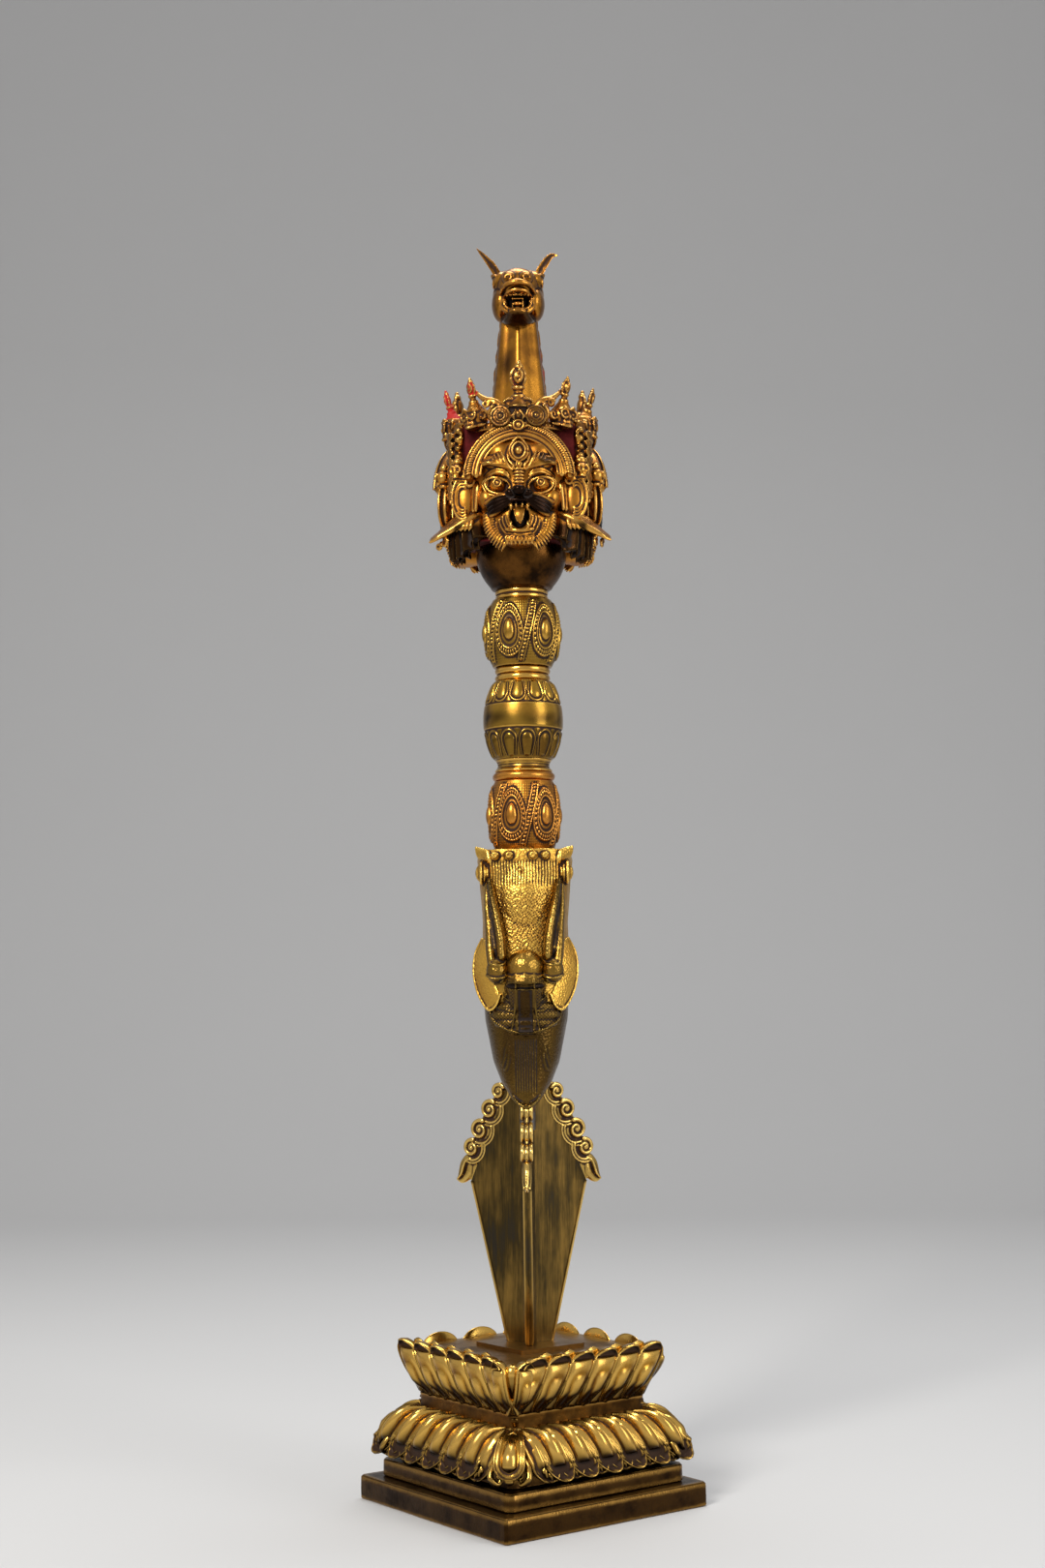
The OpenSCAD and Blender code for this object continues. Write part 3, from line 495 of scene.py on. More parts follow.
def make_tooling():
    """Height of the fine surface: casting grain, tool stipple and hair scratches."""
    group, given, out = new_group(
        "Tooled surface",
        [("Grain", "NodeSocketFloat", 0.4), ("Stipple", "NodeSocketFloat", 0.0),
         ("Stipple Size", "NodeSocketFloat", 900.0), ("Scratches", "NodeSocketFloat", 0.2)],
        [("Height", "NodeSocketFloat")],
    )
    w = Wires(group)
    place = w.place()
    grain = w.noise(place, 520.0, 6.0, 0.65)
    cells = w.node("ShaderNodeTexVoronoi", feature="SMOOTH_F1")
    w.feed(cells.inputs["Vector"], place)
    w.feed(cells.inputs["Scale"], given["Stipple Size"])
    scratch = w.noise(place, 900.0, 3.0, 0.7, stretch=(1.0, 1.0, 0.12), bend=0.4)
    total = w.times(grain, given["Grain"])
    total = w.plus(total, w.times(cells.outputs["Distance"], given["Stipple"]))
    total = w.plus(total, w.times(scratch, given["Scratches"]))
    w.feed(out["Height"], total)
    return group


def make_pigment():
    """Rubbed red pigment: where it has stayed on, by height and by chance."""
    inputs = [("Under", "NodeSocketColor", (0.5, 0.3, 0.07, 1)),
              ("Pigment", "NodeSocketColor", (0.4, 0.03, 0.02, 1)),
              ("Recess", "NodeSocketFloat", 0.5), ("Cover", "NodeSocketFloat", 0.5)]
    outputs = [("Color", "NodeSocketColor"), ("Mask", "NodeSocketFloat")]
    group, given, out = new_group("Rubbed pigment", inputs, outputs)
    w = Wires(group)
    place = w.place()
    patch = w.noise(place, 110.0, 5.0, 0.6)
    crumbs = w.noise(place, 800.0, 3.0, 0.7)
    value = w.plus(patch, w.times(w.minus(crumbs, 0.5), 0.3))
    value = w.plus(value, w.times(w.minus(given["Recess"], 0.5), 0.35))
    edge = w.minus(1.0, given["Cover"])
    mask = w.blend(value, edge, w.plus(edge, 0.12))
    w.feed(out["Color"], w.mix(mask, given["Under"], given["Pigment"]))
    w.feed(out["Mask"], mask)
    return group


GROUPS = {}


def group_node(w, name):
    """A node of a shared group, which is made when it is first asked for."""
    makers = {"Old gilding": make_gilding, "Tooled surface": make_tooling, "Rubbed pigment": make_pigment}
    if name not in GROUPS:
        GROUPS[name] = makers[name]()
    node = w.node("ShaderNodeGroup")
    node.node_tree = GROUPS[name]
    return node


def new_material(name):
    """A material of its own, with its wires and its shader."""
    material = bpy.data.materials.new(name)
    material.use_nodes = True
    return material, Wires(material.node_tree), material.node_tree.nodes["Principled BSDF"]


def gilt_finish(name, gilt, tarnish=None, deep=(0.022, 0.011, 0.004), bright=None, darkening=0.6, age=0.5,
                polish=0.3, grain=0.4, stipple=0.0, stipple_size=900.0, scratches=0.2, bump=0.25,
                pigment=None, cover=0.5, recess=True, stain_and_shade=None, edges=0.75):
    """One gilt finish. Stain names a point attribute that blackens it."""
    material, w, shader = new_material(name)
    bright = bright or tuple(min(1.0, c * 1.7 + 0.03) for c in gilt)
    tarnish = tarnish or tuple(c * 0.42 for c in gilt)
    gilding = group_node(w, "Old gilding")
    for label, value in (("Gilt", gilt), ("Bright", bright), ("Deep", deep), ("Tarnish", tarnish)):
        gilding.inputs[label].default_value = (*value, 1)
    for label, value in (("Darkening", darkening), ("Age", age), ("Polish", polish), ("Edges", edges)):
        gilding.inputs[label].default_value = value
    depth = None
    if recess:
        depth = w.attribute("recess")
        w.feed(gilding.inputs["Recess"], depth)
    color, rough, metal = gilding.outputs["Color"], gilding.outputs["Roughness"], gilding.outputs["Metallic"]
    if pigment:
        paint = group_node(w, "Rubbed pigment")
        w.feed(paint.inputs["Under"], color)
        paint.inputs["Pigment"].default_value = (*pigment, 1)
        cover_by = w.attribute("painted")
        w.feed(paint.inputs["Cover"], w.times(cover_by, cover))
        if depth is not None:
            w.feed(paint.inputs["Recess"], depth)
        color = paint.outputs["Color"]
        rough = w.plus(rough, w.times(paint.outputs["Mask"], 0.4))
        metal = w.minus(metal, w.times(paint.outputs["Mask"], 0.95), clamp=True)
    if stain_and_shade:
        # Near black: the own colour of the black parts, and painted shade where the mark stands for shade.
        black_and_shade = w.attribute(stain_and_shade)
        color = w.mix(black_and_shade, color, (0.016, 0.008, 0.005, 1))
        rough = w.minus(rough, w.times(black_and_shade, 0.06))
    tooling = group_node(w, "Tooled surface")
    for label, value in (("Grain", grain), ("Stipple", stipple), ("Stipple Size", stipple_size),
                         ("Scratches", scratches)):
        tooling.inputs[label].default_value = value
    w.surface(shader, color, rough, metal)
    w.bump(shader, tooling.outputs["Height"], bump, 0.0006)
    return material


# Sizes and colours


def length(name, words, size, least, most):
    """A length for the panel. Its values are given in millimetres."""
    return FloatProperty(name=name, description=words, default=size * MM, min=least * MM, max=most * MM,
                         precision=4, unit="LENGTH")


def colour(name, words, value):
    """A colour for the panel."""
    return FloatVectorProperty(name=name, description=words, default=value, min=0, max=1, size=3,
                               subtype="COLOR")


def in_mm(size):
    """A length from the panel in millimetres."""
    return round(size / MM, 4)


class PhurbaStand(bpy.types.PropertyGroup):
    """Sizes of the stand's castings."""

    turn: FloatProperty(name="Turn", description="Turn of the stand under the dagger",
                        default=math.radians(38), min=math.radians(30), max=math.radians(60),
                        subtype="ANGLE")
    petal_dome: length("Petal dome", "Rise of a petal's cushion", 3.4, 1, 5)
    petal_rim: length("Petal rim", "Rise of a petal's rim line", 0.9, 0.2, 2)
    petal_lip: length("Petal lip", "Outward curl of a lower petal's tip", 2.4, 0, 4)
    side_petals: IntProperty(name="Side petals", description="Petals on each side of the upper lotus",
                             default=6, min=4, max=8)


class PhurbaDagger(bpy.types.PropertyGroup):
    """Sizes of the dagger's castings."""

    weave: length("Weave", "Rise of the ribbons on the knot beads", 1.1, 0.3, 2)
    skin: length("Skin", "Finest step of a casting's skin", 0.5, 0.3, 1.5)


class PhurbaColours(bpy.types.PropertyGroup):
    """Colours of the finishes."""

    gilt: colour("Gilt", "Warm worn gilding", (0.42, 0.215, 0.03))
    pale_gilt: colour("Pale gilt", "Thin gilding with a green cast", (0.42, 0.235, 0.034))
    copper: colour("Copper", "Gilding worn to the copper", (0.46, 0.19, 0.026))
    brown: colour("Brown", "Brown patina of the plain tiers", (0.055, 0.026, 0.007))
    blade: colour("Blade", "Dark metal of the fins", (0.055, 0.037, 0.013))
    red: colour("Red", "Red pigment", (0.42, 0.008, 0.004))
    floor: colour("Floor", "Pale floor", (0.62, 0.62, 0.62))


FINISHES = {}


def finish(name):
    """The finish of that name, made when it is first asked for."""
    if name in FINISHES:
        return FINISHES[name]
    c = bpy.context.scene.phurba_colours
    gilt, pale, copper, brown = tuple(c.gilt), tuple(c.pale_gilt), tuple(c.copper), tuple(c.brown)
    dark, ruddy = (0.03, 0.009, 0.002), (0.16, 0.06, 0.01)
    recipes = {
        "petal_gilt": dict(gilt=gilt, tarnish=(0.16, 0.064, 0.01), deep=(0.05, 0.018, 0.003),
                           bright=(0.7, 0.43, 0.1), darkening=1.0, age=0.85, polish=0.27, grain=0.35,
                           bump=0.2, stain_and_shade="black_and_shade"),
        "stand_brown": dict(gilt=brown, tarnish=(0.018, 0.008, 0.003), bright=(0.3, 0.16, 0.036),
                            deep=(0.01, 0.005, 0.002), darkening=0.6, age=1.0, polish=0.3, grain=0.6,
                            scratches=0.5, bump=0.3, edges=0.8),
        "deck_gilt": dict(gilt=(0.26, 0.135, 0.034), tarnish=(0.07, 0.035, 0.012), bright=(0.5, 0.3, 0.08),
                          darkening=0.5, age=0.9, polish=0.34, grain=0.6, scratches=0.5, bump=0.3),
        "waist_gilt": dict(gilt=(0.12, 0.054, 0.01), tarnish=(0.03, 0.014, 0.004),
                           bright=(0.42, 0.22, 0.05), deep=dark, darkening=0.7, age=0.9, polish=0.26,
                           grain=0.5, bump=0.25, edges=0.8),
        "grip_gilt": dict(gilt=(0.5, 0.28, 0.05), tarnish=ruddy, deep=dark, darkening=1.0, age=0.3,
                          polish=0.22, grain=0.3, bump=0.15),
        "bead_gilt": dict(gilt=pale, tarnish=ruddy, deep=dark, darkening=1.0, age=0.55, polish=0.24,
                          grain=0.3, bump=0.15, edges=0.6, stain_and_shade="black_and_shade"),
        "copper_gilt": dict(gilt=copper, tarnish=ruddy, deep=dark, darkening=1.0, age=0.4, polish=0.3,
                            grain=0.5, bump=0.3, edges=0.6, stain_and_shade="black_and_shade"),
        "makara_gilt": dict(gilt=(0.64, 0.36, 0.06), tarnish=(0.4, 0.18, 0.025), deep=dark, darkening=0.9,
                            age=0.5, polish=0.3, grain=0.4, stipple=1.2, stipple_size=1100.0, bump=0.35,
                            stain_and_shade="black_and_shade"),
        "crest_gilt": dict(gilt=(0.46, 0.3, 0.075), tarnish=ruddy, deep=dark, darkening=0.9, age=0.3,
                           polish=0.26, grain=0.3, bump=0.2),
        "face_gilt": dict(gilt=(0.48, 0.2, 0.025), tarnish=(0.2, 0.062, 0.01), deep=(0.03, 0.008, 0.002),
                          bright=(0.8, 0.48, 0.12), darkening=1.0, age=0.7, polish=0.29, grain=0.35,
                          bump=0.2, stain_and_shade="black_and_shade", edges=0.5),
        "bowl_gilt": dict(gilt=(0.1, 0.04, 0.008), tarnish=(0.012, 0.006, 0.003), darkening=0.6, age=1.0,
                          polish=0.24, grain=0.6, bump=0.3, recess=False),
        "crown_gilt": dict(gilt=(0.38, 0.15, 0.022), tarnish=(0.1, 0.03, 0.012), deep=(0.03, 0.008, 0.002),
                           bright=(0.75, 0.45, 0.12), darkening=1.0, age=0.8, polish=0.3, edges=0.45,
                           grain=0.3, bump=0.2, pigment=tuple(c.red), cover=0.75, stain_and_shade="black_and_shade"),
        "horse_gilt": dict(gilt=(0.4, 0.17, 0.02), tarnish=(0.09, 0.032, 0.008), deep=dark, darkening=1.0,
                           age=0.7, polish=0.25, grain=0.35, bump=0.2, pigment=(0.28, 0.035, 0.03),
                           cover=0.6, stain_and_shade="black_and_shade"),
        "red_core": dict(gilt=(0.09, 0.012, 0.012), tarnish=(0.03, 0.008, 0.008), darkening=0.5, age=0.8,
                         polish=0.6, grain=0.7, bump=0.4, recess=False),
    }
    FINISHES[name] = gilt_finish(name, **recipes[name])
    return FINISHES[name]


def plain_iron():
    """Forged iron of the washers, nuts and rod."""
    material, w, shader = new_material("plain_iron")
    place = w.place()
    rust = w.blend(w.noise(place, 240.0, 6.0, 0.65), 0.5, 0.66)
    tooling = group_node(w, "Tooled surface")
    w.surface(shader, w.mix(rust, (0.16, 0.15, 0.14, 1), (0.1, 0.045, 0.02, 1)),
              w.blend(rust, 0.0, 1.0, 0.38, 0.75), w.blend(rust, 0.0, 1.0, 1.0, 0.3))
    w.bump(shader, tooling.outputs["Height"], 0.4, 0.0005)
    return material


def blade_metal():
    """Dark fins with upright grey and gold streaks and gilt left on the rims."""
    c = bpy.context.scene.phurba_colours
    material, w, shader = new_material("blade_metal")
    place = w.place()
    streak = w.noise(place, 330.0, 6.0, 0.65, stretch=(1.0, 1.0, 0.055), bend=0.3)
    fine = w.noise(place, 1500.0, 4.0, 0.7, stretch=(1.0, 1.0, 0.05))
    cloud = w.noise(place, 48.0, 4.0, 0.6, stretch=(1.0, 1.0, 0.45))
    level = w.node("ShaderNodeSeparateXYZ")
    w.feed(level.inputs[0], place)
    warm = w.math("MAXIMUM", w.blend(level.outputs[2], 0.165, 0.19),
                  w.blend(level.outputs[2], 0.118, 0.082))
    rim = w.attribute("rim")
    value = w.plus(w.times(streak, 0.34), w.times(fine, 0.2))
    value = w.plus(value, w.times(cloud, 0.66))
    value = w.plus(value, w.times(warm, 0.09))
    gold = w.blend(value, 0.54, 0.8)
    dark = w.blend(value, 0.6, 0.46)
    color = w.mix(gold, (*tuple(c.blade), 1), (0.25, 0.145, 0.034, 1))
    color = w.mix(w.times(dark, 0.85), color, (0.018, 0.014, 0.009, 1))
    worn = w.times(rim, w.blend(cloud, 0.3, 0.6, 0.6, 1.0))
    color = w.mix(worn, color, (0.62, 0.4, 0.11, 1))
    w.surface(shader, color, w.blend(value, 0.3, 0.8, 0.42, 0.28), w.blend(dark, 0.0, 1.0, 1.0, 0.75))
    w.bump(shader, w.plus(streak, w.times(fine, 0.6)), 0.3, 0.0006)
    return material


# Stand


def square_ring(half, corner, side_points=14, corner_points=7):
    """Points round a square with rounded corners, anticlockwise from its right side."""
    flat = half - corner
    points = []
    for k in range(4):
        along = np.linspace(-flat, flat, side_points, endpoint=False)
        side = np.stack([np.full(side_points, half), along], 1)
        angle = np.linspace(0, math.pi / 2, corner_points, endpoint=False)
        bend = np.stack([flat + corner * np.cos(angle), flat + corner * np.sin(angle)], 1)
        points.append(np.vstack([side, bend]) @ turn_z(k * math.pi / 2)[:2, :2].T)
    return np.vstack(points)


def square_tier(form, outline, corner):
    """Adds a square tier from (half side, height, share of the corner's radius) points."""
    net = []
    for half, z, *share in outline:
        ring = square_ring(half, max(0.3, corner * (share[0] if share else 1)))
        net.append(np.column_stack([ring, np.full(len(ring), z)]))
    return form.grid(np.array(net))


def worn(obj, amount, scale=40.0):
    """Small uneven swells, as hand finishing leaves."""
    co = co_of(obj)
    p = co / MM / scale
    wave = (
        np.sin(p[:, 0] * 5.1 + 1.3 * np.sin(p[:, 2] * 7.3)) * np.sin(p[:, 1] * 4.3 + 2.0)
        + np.sin(p[:, 0] * 11.7 + 0.7) * np.sin(p[:, 1] * 13.1 + p[:, 2] * 9.2) * 0.5
    )
    set_co(obj, co + normals_of(obj) * (wave * amount * MM)[:, None])


def edge_wear(obj):
    """Recess values that brighten the worn outer edges and leave the flat faces dull."""
    co = co_of(obj)
    smooth = relaxed(co, edges_of(obj), 2)
    proud = ((co - smooth) * normals_of(obj)).sum(1) / MM
    return np.clip(0.6 - 1.6 * np.abs(proud), 0.12, 0.95)


def sharp(obj, degrees=38):
    """Keeps edges crisp where faces meet at more than this angle."""
    obj.data.set_sharp_from_angle(angle=math.radians(degrees))


def on_stand(obj):
    """Turns a piece of the stand with the stand."""
    turn = round(math.degrees(bpy.context.scene.phurba_stand.turn), 4)
    set_co(obj, co_of(obj) @ turn_z(math.radians(turn)).T)
    return obj


def petal_shell(form, path, half_width, height, rows=38, cols=29, back=2.2):
    """Adds one petal.

    Path gives (outward, sideways, z) by s. Height gives its rise by (s, t, how near its rim).
    """
    s = np.linspace(0, 1, rows) ** 0.9
    t = np.linspace(-1, 1, cols)
    spine = path(s)
    along = np.gradient(spine, axis=0)
    along /= np.linalg.norm(along, axis=1)[:, None]
    normal = np.stack([np.abs(along[:, 2]), np.zeros(rows), -np.sign(along[:, 2]) * along[:, 0]], 1)
    normal /= np.linalg.norm(normal, axis=1)[:, None]
    width = half_width(s)
    S, T = np.meshgrid(s, t, indexing="ij")
    end = np.clip((S - 0.74) / 0.26, 0, 1)
    rim = np.sqrt(T**2 * (1 - end**2) + end**2)
    rise = height(S, T, rim)
    front = spine[:, None] + normal[:, None] * rise[..., None]
    front[..., 1] += T * width[:, None]
    rear = spine[:, None] - normal[:, None] * back
    rear = np.repeat(rear, 5, axis=1)
    rear[..., 1] += np.linspace(0.9, -0.9, 5)[None] * width[:, None]
    return form.grid(np.concatenate([front, rear], axis=1))


def round_tip(wide, foot):
    """Half width of a petal that widens from its foot and ends round."""
    def half_width(s):
        body = wide * (foot + (1 - foot) * np.sin(np.clip(s / 0.74, 0, 1) * math.pi / 2))
        end = np.clip((s - 0.74) / 0.26, 0, 1)
        return body * np.sqrt(np.clip(1 - end**2, 0.004, 1))
    return half_width


def lobe(s, t, end, length, wide):
    """0 along the middle of a rounded bar that ends at a share of the length, 1 on its outline."""
    past = np.clip((s - end + length) / length, 0, 1)
    return np.sqrt(np.clip((t / wide) ** 2 * (1 - past**2) + past**2, 0, 2.5))


def lower_petal(x, start, drop, spread, wide, lean=0.0):
    """Shape of a petal that hangs outward: a long cushion, fine ridges, a lip and a hollow under it."""
    p = bpy.context.scene.phurba_stand
    dome, line_rise, curl = in_mm(p.petal_dome), in_mm(p.petal_rim), in_mm(p.petal_lip)

    def path(s):
        arc = np.radians(98) * s
        out = start + spread * np.sin(arc)
        return np.stack([out, x + lean * s, -drop * (1 - np.cos(arc)) / 1.14], 1)

    def height(s, t, rim):
        rooted = 0.35 + 0.65 * step(s, 0, 0.4)
        bar = lobe(s, t, 0.8, 0.36, 0.2 + 0.26 * step(s, 0.0, 0.6))
        cushion = (dome + 1.6) * ridge(bar, 1.0) * rooted - 0.5
        line = line_rise * (hill(rim - 0.92, 0.05) + 0.8 * hill(rim - 0.74, 0.04) * step(s, 0.05, 0.25))
        lips = 1.0 * hill(bar - 1.35, 0.12) * step(s, 0.45, 0.7)
        lips = lips + curl * step(s, 0.86, 1.0) * step(rim, 0.84, 0.97)
        scoop = -1.3 * step(s, 0.83, 0.89) * (1 - step(rim, 0.8, 0.9))
        return np.maximum(cushion, line + lips + scoop - 0.7 * (1 - step(rim, 0.66, 0.74))) + 0.8
    return path, round_tip(wide / 2, 0.42), height


def upper_petal(x, start, rise, spread, wide, lean=0.0):
    """Shape of a petal that stands outward: a long cushion, two folds above it and a hollow tip."""
    dome = in_mm(bpy.context.scene.phurba_stand.petal_dome)

    def path(s):
        out = start + spread * np.sin(np.radians(112) * s) + 1.0 * step(s, 0.86, 1)
        return np.stack([out, x + lean * s, rise * s], 1)

    def height(s, t, rim):
        rooted = 0.3 + 0.7 * step(s, 0.05, 0.35)
        cushion = (dome + 0.9) * ridge(lobe(s, t, 0.7, 0.34, 0.42 + 0.22 * step(s, 0.1, 0.6)), 1.0) * rooted
        fold = (dome - 0.7) * ridge(lobe(s, t, 0.84, 0.22, 0.8), 1.0) ** 0.6 * rooted
        edge = 1.7 * hill(rim - 0.93, 0.06) * rooted
        hollow = -1.2 * step(s, 0.83, 0.88) * (1 - step(rim, 0.76, 0.9))
        curl = 1.5 * step(s, 0.93, 0.99) * (1 - 0.5 * t**2)
        return np.maximum(np.maximum(cushion, fold), edge + hollow + curl) + 0.2
    return path, round_tip(wide / 2, 0.5), height


def stand_tiers():
    """Plinth, step with its neck, waist, deck and socket plate."""
    brown = finish("stand_brown")
    half = (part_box("waist")[1].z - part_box("waist")[0].z) / MM
    top = high("plinth")
    form = square_tier(Form(), [
        (3, 7.5), (29, 7.5), (30, 7.1), (30, 0.7), (30.6, 0.05), (59.3, 0.05), (59.9, 0.7), (59.95, 5),
        (59.9, top - 0.9), (59.2, top), (52, top)], 1.5)
    plinth = form.mesh("plinth_slab")
    worn(plinth, 0.16, 60)
    co = co_of(plinth)
    co[:, 2] = np.maximum(co[:, 2], 0.02 * MM)
    set_co(plinth, co)
    z0, z1 = low("step_tier"), high("step_tier")
    form = square_tier(Form(), [
        (30, z0), (52.3, z0 + 0.02), (52.9, z0 + 0.7), (52.9, z0 + 7.4), (52.2, z0 + 8.4), (47.2, z0 + 8.5),
        (46.1, z0 + 8.9), (45.9, z0 + 10), (45.9, z1), (30, z1)], 4.5)
    stepped = form.mesh("step_castings")
    z0, z1 = low("waist"), high("waist")
    form = square_tier(Form(), [(30, z0), (39.3, z0), (39.9, z0 + 0.5), (39.6, z0 + half * 0.5),
                                (39.9, z1 - 0.5), (39.3, z1), (30, z1)], 4.5)
    for k in range(4):
        corner = turn_z(k * math.pi / 2 + math.pi / 4)
        form.tube([corner @ [52.0, 0, z0 + 0.4], corner @ [53.0, 0, z0 + half * 0.5],
                   corner @ [52.0, 0, z1 - 0.4]], [1.4, 2.3, 1.4], smooth=4, sides=12)
    waist = form.mesh("waist_band")
    z0, z1 = low("deck_plate"), high("deck_plate")
    form = square_tier(Form(), [(12, z0 + 0.1), (41.8, z0 + 0.1), (41.9, z1 - 0.3), (41.5, z1), (18, z1)],
                       2.5)
    deck = form.mesh("deck_top")
    z0, z1 = high("deck_plate"), high("blade_socket")
    form = square_tier(Form(), [(15, z0 - 0.2), (18.9, z0 - 0.1), (18.95, z1 - 0.5), (18.5, z1 - 0.02),
                                (17.4, z1), (16.9, z1 - 0.35), (5, z1 - 0.35)], 1.6)
    plate = form.mesh("socket_plate")
    for obj, node, amount in ((plinth, "plinth", 0), (stepped, "step_tier", 0.12), (waist, "waist", 0.1),
                              (deck, "deck_plate", 0.1), (plate, None, 0.05)):
        refine(obj)
        if amount:
            worn(obj, amount)
        sharp(obj)
        on_stand(obj)
        metal = {plinth: brown, stepped: brown, waist: finish("waist_gilt")}.get(obj) or finish("deck_gilt")
        mark(obj, "recess", edge_wear(obj))
        dress(obj, metal, "stand", [node] if node else [], "stand_gilt", recesses=False)


def refine(obj):
    """Splits each face once, without rounding the piece."""
    cut = obj.modifiers.new("refine", "SUBSURF")
    cut.subdivision_type = "SIMPLE"
    cut.levels = 1
    bake(obj)


def shade_under(obj, amount, low_z, high_z):
    """Darkens what faces down, more so towards the foot of the petals."""
    z, down = co_of(obj)[:, 2] / MM, -normals_of(obj)[:, 2]
    below = amount * step(down, 0.0, 0.55)
    mark(obj, "black_and_shade", np.minimum(0.98, below + 0.45 * (1 - step(z, low_z, high_z))))


def lower_lotus():
    """Hanging petals over their casting, with the petals behind and the corner drops."""
    start, z1 = 40.0, high("lower_lotus")
    z0 = low("step_tier") + 16.5
    drop, spread, pitch = 21.3, 14.4, 12.8
    form = square_tier(Form(), [(30, z0), (44, z0), (47.5, z0 + 4), (45.5, z0 + 9), (40.4, z1 - 0.1),
                                (30, z1)], 4)
    sides = {}
    for way in (-1, 1):
        side = Form()
        for i in range(6):
            top, tip = -33.5 + 12.9 * i, -22.5 + 14.6 * i
            petal = lower_petal(way * top, start, drop, spread, pitch * 1.3, way * (tip - top))
            petal_shell(side, *petal, rows=46)
        for i in range(6):
            top, tip = -38.5 + 12.9 * i, -30 + 14.6 * i
            path, width, height = lower_petal(way * top, start, drop + 0.1, spread - 1.6, pitch * 1.3,
                                              way * (tip - top))

            def lowered(s, t, rim, height=height):
                return np.minimum(height(s, t, rim), 2.6)
            petal_shell(side, path, width, lowered, rows=26, cols=19)
            tip = np.array([start + spread - 0.8, way * tip, -drop + 1.5])
            side.tube([tip + [-2, -0.8 * way, 4], tip + [0.6, 0, 1.6], tip + [1.4, 0.4 * way, -0.2]],
                      [0.9, 1.7, 0.25], flat=0.8, up=(1, 0, 0), sides=4, smooth=3)
        foot = np.array([start + spread * 0.55, -way * 31.0, -drop * 0.42])
        side.tube([foot + [-6, 4.6 * way, 7], foot, foot + [5.4, -1.6 * way, -6.4],
                   foot + [6.2, -1.2 * way, -9.6]], [0.6, 1.1, 1.2, 0.8], smooth=4, sides=8)
        side.ball((start + spread - 1.4, -way * 32.6, -drop + 5.0), (1.6, 1.7, 1.7), n=14)
        sides[way] = side
    corner = start * math.sqrt(2) - 1.2
    reach = corner + spread * 1.16
    drop_at = Form()
    path, width, _ = lower_petal(0, corner, drop - 3, spread * 1.2, pitch * 1.15)

    def two_lines(s, t, rim):
        return 1.2 * hill(rim - 0.92, 0.06) + 0.9 * hill(rim - 0.72, 0.06) + 0.9
    petal_shell(drop_at, path, width, two_lines)
    drop_at.tube([(corner + 6, 0, -1.4), (corner + 11.5, 0, -4.2), (corner + 15.0, 0, -8.6),
                  (corner + 16.4, 0, -12.6), (corner + 16.6, 0, -14.6)], [0.9, 2.7, 4.2, 4.0, 1.6],
                 smooth=5)
    for side in (-1, 1):
        drop_at.tube([(reach - 8, side * 5, -9), (reach - 3, side * 8.2, -13.5),
                      (reach - 0.5, side * 8.6, -17.8), (reach - 1.4, side * 5.6, -20.2),
                      (reach - 2.2, side * 4.2, -18.3), (reach - 2.0, side * 5.6, -17.2)],
                     [1.0, 1.5, 1.6, 1.4, 1.1, 0.8], smooth=5)
    drop_at.ball((reach - 0.2, 0, -18.6), (2.0, 2.2, 2.0))
    for k in range(4):
        form.join(sides[1 if k % 2 else -1], turn_z(k * math.pi / 2), (0, 0, z1))
        form.join(drop_at, turn_z(k * math.pi / 2 + math.pi / 4), (0, 0, z1))
    obj = on_stand(form.mesh("lower_petals"))
    shade_under(obj, 0.92, z0 - 2, z0 + 10)
    # The broad recess marks darken the valleys as patina and the sides of each cushion as painted shade.
    dress(obj, finish("petal_gilt"), "stand", ["lower_lotus"], "lotus_gilt", rounds=(8, 40), gain=650.0)


